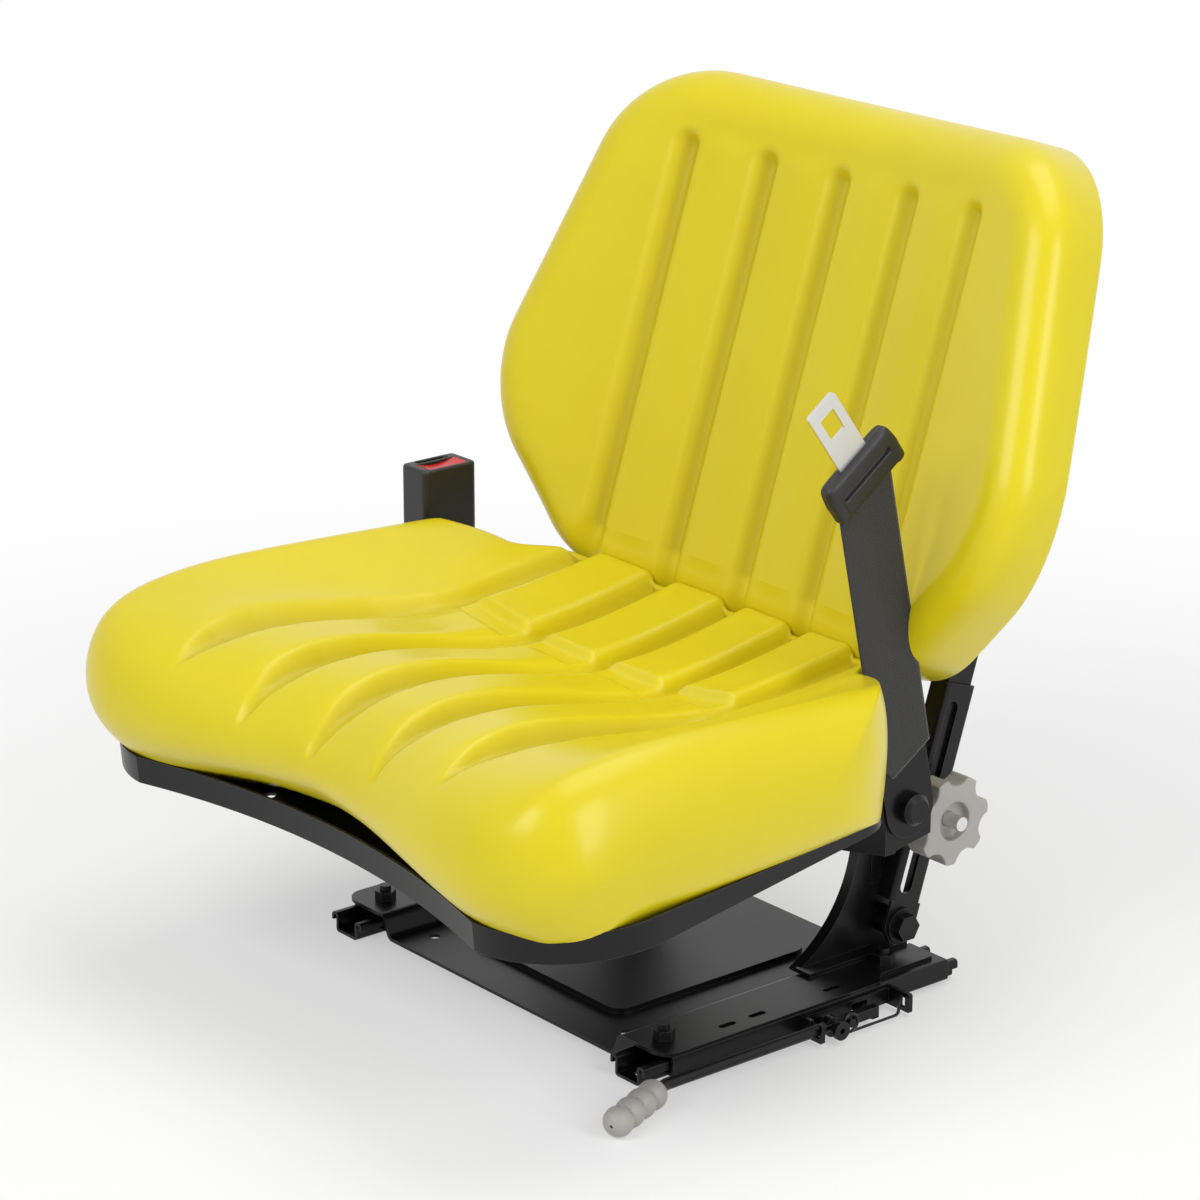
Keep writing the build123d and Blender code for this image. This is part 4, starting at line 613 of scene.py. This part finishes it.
def seat_cover():
    """Bucket seat cushion with five channels that widen towards the front."""
    turn = np.radians(np.linspace(0.0, SEAT_EDGE_TURN, SEAT_EDGE_COUNT))
    edge = BOLSTER_X + (SEAT_HALF - BOLSTER_X) * np.sin(turn)
    fine = np.arange(0.0, SEAT_FINE_END, SEAT_FINE_STEP)
    coarse = np.linspace(SEAT_COARSE_START, BOLSTER_X, SEAT_COARSE_COUNT)[:-1]
    half = np.concatenate((fine, coarse, edge))
    stations = np.concatenate((-half[:0:-1], half))
    side_count = SEAT_WALL_COUNT - 1 + SEAT_TOP_COUNT
    loop = side_count + SEAT_BASE_COUNT
    order = np.arange(side_count)
    verts, channel = [], []
    for x in stations:
        line = seat_profile(x)
        slope = np.gradient(line, axis=0)
        out = np.stack((slope[:, 1], -slope[:, 0]), 1)
        out /= np.linalg.norm(out, axis=1)[:, None]
        up = ramp(out[:, 1], *SEAT_CHANNEL_FACING)
        up *= ramp(order, SEAT_WALL_COUNT - SEAT_WALL_BLEND, SEAT_WALL_COUNT)
        cut, crown = seat_channels(np.full(side_count, x), line[:, 0])
        tail = np.cumsum(np.linalg.norm(slope, axis=1)[::-1])[::-1]
        hem = SEAT_HEM * (1.0 - ramp(tail, *SEAT_HEM_BAND)) * ramp(SEAT_HALF - abs(x), *SEAT_HEM_ENDS)
        line = line + out * ((crown - cut) * up - hem)[:, None]
        share = np.linspace(0.0, 1.0, SEAT_BASE_COUNT + 2)[1:-1, None]
        under = line[-1] + (line[0] - line[-1]) * share
        for y, z in np.concatenate((line, under)):
            verts.append((x, y, z))
        # Channel depth, for the painted shade down in the channels
        channel.extend(np.concatenate((cut * up / CHANNEL_SHADE_DEPTH, np.zeros(SEAT_BASE_COUNT))))
    faces = tube_faces(len(stations), loop)
    last = (len(stations) - 1) * loop
    for start in (0, last):
        for i in range(loop // 2 - 1):
            faces.append((start + i, start + i + 1, start + loop - 2 - i, start + loop - 1 - i))
    cushion_mesh("seat_cover", verts, faces, channel, "seat_cushion", "seat_base")


def back_side():
    """Left half of the back's outline from its bottom to its top: places and outward directions."""
    corners = [(0.0, BACK_CORNERS[0][1], 0.0), *BACK_CORNERS, (0.0, BACK_CORNERS[-1][1], 0.0)]
    places, outward = [], []
    for before, here, after in zip(corners, corners[1:], corners[2:]):
        at = np.array(here[:2])
        come = at - np.array(before[:2])
        go = np.array(after[:2]) - at
        come, go = come / np.linalg.norm(come), go / np.linalg.norm(go)
        bend = math.acos(float(come @ go))
        reach = here[2] * math.tan(bend / 2)
        start = at - come * reach
        centre = start + here[2] * np.array((-come[1], come[0]))
        first = math.atan2(*(start - centre)[::-1])
        for turn in np.linspace(0.0, bend, BACK_ARC_COUNT):
            way = np.array((math.cos(first + turn), math.sin(first + turn)))
            places.append(centre + here[2] * way)
            outward.append(way)
    return np.array(places), np.array(outward)


def back_face(x):
    """Front of the back cushion, which wraps forward at its wings."""
    return BACK_FACE - BACK_FACE_WING * (x / BACK_WING_HALF) ** 2


def back_rear(x):
    """Rear of the back cushion, against the shell."""
    return BACK_REAR - BACK_REAR_WING * (x / BACK_WING_HALF) ** 2


def back_plan():
    """Grid of the back's flat area inside its rolled edge, and the outward direction at each row's end."""
    places, outward = back_side()
    inner = places - BACK_FRONT_ROLL * outward
    gone = np.concatenate(([0.0], np.cumsum(np.linalg.norm(np.diff(inner, axis=0), axis=1))))
    at = np.linspace(0.0, gone[-1], BACK_ROWS)
    side = np.stack([np.interp(at, gone, inner[:, k]) for k in (0, 1)], 1)
    way = np.stack([np.interp(at, gone, outward[:, k]) for k in (0, 1)], 1)
    way /= np.linalg.norm(way, axis=1)[:, None]
    even = np.linspace(-BACK_EVEN, BACK_EVEN, BACK_EVEN_COUNT)
    spread = np.linspace(0.0, 1.0, BACK_SIDE_COUNT)[1:]
    plan = []
    for width, height in side:
        reach = BACK_EVEN + (width - BACK_EVEN) * spread
        xs = np.concatenate((-reach[::-1], even, reach))
        plan.append(np.stack((xs, np.full(len(xs), height)), 1))
    return np.array(plan), way


def back_channels(x, z):
    """Depth of the back's channels, which end below its top, and the crown of the ridges between them."""
    apart = channel_distance(x)
    from_end = np.hypot(apart, np.maximum(z - BACK_CHANNEL_TOP, 0.0))
    cut = BACK_CHANNEL_DEPTH * (1.0 - ramp(from_end, 0.0, BACK_CHANNEL_HALF)) ** BACK_CHANNEL_POWER
    inside = np.abs(x) < CHANNELS[-1]
    crown = BACK_RIDGE * ramp(apart, *BACK_RIDGE_FLANK) * inside * (1.0 - ramp(z, *BACK_RIDGE_END))
    return cut, crown


def back_cover():
    """Winged back cushion, rolled at its edges, with a hem round the edge of its shell."""
    plan, way = back_plan()
    rows, columns = plan.shape[:2]
    cut, crown = back_channels(plan[..., 0], plan[..., 1])
    verts, channel, faces = [], [], []

    def add_sheet(depth, mask, flip):
        start = len(verts)
        for row in range(rows):
            for column in range(columns):
                x, z = plan[row, column]
                verts.append((x, depth[row, column], z))
                channel.append(mask[row, column])
        for row in range(rows - 1):
            for column in range(columns - 1):
                i = start + row * columns + column
                quad = (i, i + 1, i + columns + 1, i + columns)
                faces.append(quad[::-1] if flip else quad)
        return start

    # Channel depth, for the painted shade down in the channels
    front = add_sheet(back_face(plan[..., 0]) + cut - crown, cut / CHANNEL_SHADE_DEPTH, False)
    back = add_sheet(back_rear(plan[..., 0]), np.zeros((rows, columns)), True)
    rim = [(0, c) for c in range(columns)] + [(r, columns - 1) for r in range(1, rows)]
    rim += [(rows - 1, c) for c in range(columns - 2, -1, -1)] + [(r, 0) for r in range(rows - 2, 0, -1)]
    outs = []
    for row, column in rim:
        if row in (0, rows - 1) and 0 < column < columns - 1:
            outs.append(np.array((0.0, -1.0 if row == 0 else 1.0)))
        else:
            outs.append(way[row] * (1.0 if column else -1.0, 1.0))
    outs = np.array(outs)
    base = np.array([plan[row, column] for row, column in rim])
    rings = [[front + row * columns + column for row, column in rim]]
    turns = np.linspace(0.0, math.pi / 2, BACK_ROLL_COUNT)[1:]
    brim = np.array([cut[row, column] for row, column in rim])
    roll = BACK_FRONT_ROLL - BACK_FOOT_TIGHT * np.maximum(-outs[:, 1], 0.0) ** 2
    steps = [(BACK_FRONT_ROLL * math.sin(t), "front", 0.0) for t in turns]
    for t in turns:
        inset, short = BACK_HEM_ROLL * (1 - math.cos(t)), BACK_HEM_ROLL * (1 - math.sin(t))
        steps.append((BACK_FRONT_ROLL - inset, "rear", short - BACK_HEM))
    lip = BACK_FRONT_ROLL - BACK_HEM_WIDE
    steps.append((lip, "rear", -BACK_HEM))
    steps.append((lip - BACK_TUCK, "rear", BACK_TUCK_DROP - BACK_HEM))
    steps.append((lip - BACK_TUCK, "rear", 0.0))
    for reach, where, dip in steps:
        spots = base + outs * reach
        if where == "front":
            past = np.maximum(reach - (BACK_FRONT_ROLL - roll), 0.0)
            dip = roll - np.sqrt(np.maximum(roll ** 2 - past ** 2, 0.0))
            depth = back_face(spots[:, 0]) + dip + brim * (1.0 - dip / BACK_FRONT_ROLL) ** BACK_BRIM_POWER
        else:
            depth = back_rear(spots[:, 0]) - dip
        rings.append(list(range(len(verts), len(verts) + len(rim))))
        for (x, z), y in zip(spots, depth):
            verts.append((x, y, z))
            channel.append(0.0)
    rings.append([back + row * columns + column for row, column in rim])
    for outer, inner_ring in zip(rings, rings[1:]):
        for i in range(len(rim)):
            j = (i + 1) % len(rim)
            faces.append((outer[i], outer[j], inner_ring[j], inner_ring[i]))
    tilt = np.array(Matrix.Rotation(-BACK_LEAN, 3, "X"))
    placed = np.array(verts) @ tilt.T + BACK_PIVOT
    cushion_mesh("back_cover", placed, faces, channel, "backrest_cushion", "backrest")


def belt_span(node, lean):
    """Reach of a belt piece through its thickness, across it and along it, in a frame at the bolt."""
    from_bolt = points_of(frame["nodes"][node].data) - np.array(BELT_BOLT)
    local = from_bolt @ np.array(Matrix.Rotation(lean, 3, "X"))
    return local.min(0), local.max(0)


def two_faced(name, rows, columns, lean, spot):
    """A closed plate from two grids: spot gives a place in a leaning frame for a side, row and column."""
    wide = columns + 1
    sheet = (rows + 1) * wide
    local = np.array([
        spot(side, row, column) for side in (1, -1) for row in range(rows + 1) for column in range(wide)
    ])
    faces = []
    for row in range(rows):
        for column in range(columns):
            i = row * wide + column
            faces.append((i, i + 1, i + wide + 1, i + wide))
            faces.append((sheet + i, sheet + i + wide, sheet + i + wide + 1, sheet + i + 1))
        left, right = row * wide, row * wide + columns
        faces.append((left, left + wide, sheet + left + wide, sheet + left))
        faces.append((right, sheet + right, sheet + right + wide, right + wide))
    for column in range(columns):
        last = rows * wide + column
        faces.append((column, sheet + column, sheet + column + 1, column + 1))
        faces.append((last, last + 1, sheet + last + 1, sheet + last))
    turn = np.array(Matrix.Rotation(lean, 3, "X"))
    mesh = bpy.data.meshes.new(name)
    mesh.from_pydata((local @ turn.T + np.array(BELT_BOLT)).tolist(), [], faces)
    for title, values in (("across", local[:, 1]), ("along", local[:, 2])):
        mesh.attributes.new(title, "FLOAT", "POINT").data.foreach_set("value", values.astype(np.float32))
    mesh.polygons.foreach_set("use_smooth", [True] * len(mesh.polygons))
    return new_object(name, mesh)


def belt_strap():
    """Woven lap strap from the anchor tab up into the tongue's cover."""
    low, high = belt_span("belt_webbing", BELT_LEAN)
    start, end = low[2], high[2]
    thick, middle = high[0] - low[0], (high[0] + low[0]) / 2
    half = BELT_WIDTH / 2

    def spot(side, row, column):
        a = -half + BELT_WIDTH * column / STRAP_COLUMNS
        slant = (-half / 2 - a) / (half / 2) if a < -half / 2 else (a + half / 2) / (1.5 * half)
        foot = start + STRAP_FOOT * slant
        plump = 1.0 - abs(a / half) ** STRAP_EDGE_POWER * STRAP_EDGE_THIN
        return middle + side * thick / 2 * plump, a, foot + (end - foot) * row / STRAP_ROWS

    strap = two_faced("lap_strap", STRAP_ROWS, STRAP_COLUMNS, BELT_LEAN, spot)
    carried(strap, "belt_webbing", "webbing", "seat_base")


def tongue_grip():
    """Moulded cover of the tongue: rounded all over, with a slot across it for the strap."""
    low, high = belt_span("tongue_cover", TONGUE_LEAN)
    centre, half = (low + high) / 2, (high - low) / 2

    def spot(side, row, column):
        u = math.sin(math.pi / 2 * (2 * column / COVER_COLUMNS - 1))
        v = math.sin(math.pi / 2 * (2 * row / COVER_ROWS - 1))
        full = max(1.0 - abs(u) ** COVER_SIDE_POWER, 0.0) ** COVER_ROUND
        full *= max(1.0 - abs(v) ** COVER_END_POWER, 0.0) ** COVER_ROUND
        slot = ramp(COVER_SLOT_HALF - abs(u), -SLOT_SIDE_SOFT, SLOT_SIDE_SOFT)
        slot *= ramp(COVER_SLOT_RISE - abs(v - COVER_SLOT_MIDDLE), -SLOT_EDGE_SOFT, SLOT_EDGE_SOFT)
        strap_seat = ramp(COVER_SEAT_HALF - abs(u), -SLOT_SIDE_SOFT, SLOT_SIDE_SOFT)
        strap_seat *= ramp(COVER_SEAT_TOP - v, -SEAT_EDGE_FADE, SEAT_EDGE_FADE)
        depth = half[0] * full * (1.0 - COVER_SLOT_DEPTH * slot - COVER_SEAT_DEPTH * strap_seat)
        taper = 1.0 - COVER_TAPER * (1.0 + v) * abs(v)
        corner = 1.0 - COVER_CORNER * abs(u) ** COVER_CORNER_POWER * abs(v) ** COVER_CORNER_POWER
        across, along = half[1] * u * taper * corner, half[2] * v * corner
        return centre[0] + side * depth, centre[1] + across, centre[2] + along

    cover = two_faced("tongue_grip", COVER_ROWS, COVER_COLUMNS, TONGUE_LEAN, spot)
    carried(cover, "tongue_cover", "black_plastic", "seat_base")


def carried(obj, node, slot, body):
    """Dresses a new piece, hides the solid that it stands for and declares what it rides on."""
    dress(obj, slot)
    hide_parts(node)
    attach(obj, body)


def rounded_moulding(name, node, body, cell, passes):
    """A moulding in its solid's form, with the rounded edges that the tool gives it."""
    obj = new_object(name, frame["nodes"][node].data.copy())
    work = bmesh.new()
    work.from_mesh(obj.data)
    bmesh.ops.remove_doubles(work, verts=work.verts, dist=WELD)
    work.to_mesh(obj.data)
    work.free()
    remesh = obj.modifiers.new("even_skin", "REMESH")
    remesh.mode = "VOXEL"
    remesh.voxel_size = cell
    soften = obj.modifiers.new("round_edges", "SMOOTH")
    soften.factor = 0.5
    soften.iterations = passes
    made = bpy.data.meshes.new_from_object(obj.evaluated_get(bpy.context.evaluated_depsgraph_get()))
    obj.modifiers.clear()
    obj.data = made
    obj.data.polygons.foreach_set("use_smooth", [True] * len(made.polygons))
    carried(obj, node, SLOT_OF[node], body)


def ball_grip():
    """Lever grip turned as a row of four balls."""
    solid = points_of(frame["nodes"]["lever_grip"].data)
    middle = (solid.min(0) + solid.max(0)) / 2
    spread = np.linalg.eigh(np.cov((solid - middle).T))[1]
    axis = spread[:, 2] * (1.0 if spread[1, 2] < 0 else -1.0)
    reach = (solid - middle) @ axis
    low, high = reach.min(), reach.max()
    side = np.cross(axis, (0.0, 0.0, 1.0))
    side /= np.linalg.norm(side)
    up = np.cross(side, axis)
    ball = GRIP_BALL
    pitch = (high - low - 2 * ball) / (GRIP_BALLS - 1)
    centres = low + ball + pitch * np.arange(GRIP_BALLS)
    place = low + (high - low) * (1.0 - np.cos(np.linspace(0.0, np.pi, GRIP_RINGS))) / 2
    width = np.sqrt(np.maximum(ball ** 2 - (place[:, None] - centres) ** 2, 0.0)).max(1)
    width = np.maximum(width, np.where((place > centres[0]) & (place < centres[-1]), GRIP_WAIST, 0.0))
    face = place[-1] - (ball - math.sqrt(ball ** 2 - GRIP_HOLE ** 2))
    width = np.append(width[place < face], (GRIP_HOLE, GRIP_HOLE))
    place = np.append(place[place < face], (face, face - GRIP_HOLE_DEEP))
    around = np.linspace(0.0, 2 * np.pi, GRIP_AROUND + 1)[:-1]
    verts = []
    for d, r in zip(place, np.maximum(width, GRIP_LEAST)):
        for turn in around:
            verts.append(middle + axis * d + r * (side * math.cos(turn) + up * math.sin(turn)))
    faces = tube_faces(len(place), GRIP_AROUND)
    faces.append(tuple(range(GRIP_AROUND))[::-1])
    faces.append(tuple(range((len(place) - 1) * GRIP_AROUND, len(place) * GRIP_AROUND)))
    mesh = bpy.data.meshes.new("ball_grip")
    mesh.from_pydata([tuple(v) for v in verts], [], faces)
    mesh.polygons.foreach_set("use_smooth", [True] * len(mesh.polygons))
    grip = new_object("ball_grip", mesh)
    carried(grip, "lever_grip", "grey_plastic", "slide_lever")


def dress_solids():
    """Finishes for the solids that show as they are."""
    for name, obj in frame["nodes"].items():
        dress(obj, "black_fastener" if name == "lever_spring" else SLOT_OF[name])


bpy.context.scene.view_settings.view_transform = "Standard"
make_camera()
make_studio()
dress_solids()
belt_strap()
for side in ("left", "right"):
    rounded_moulding(side + "_star_knob", side + "_knob", side + "_knob", KNOB_CELL, KNOB_PASSES)
tongue_grip()
rounded_moulding("buckle_case", "buckle_housing", "seat_base", BUCKLE_CELL, BUCKLE_PASSES)
ball_grip()
seat_cover()
back_cover()
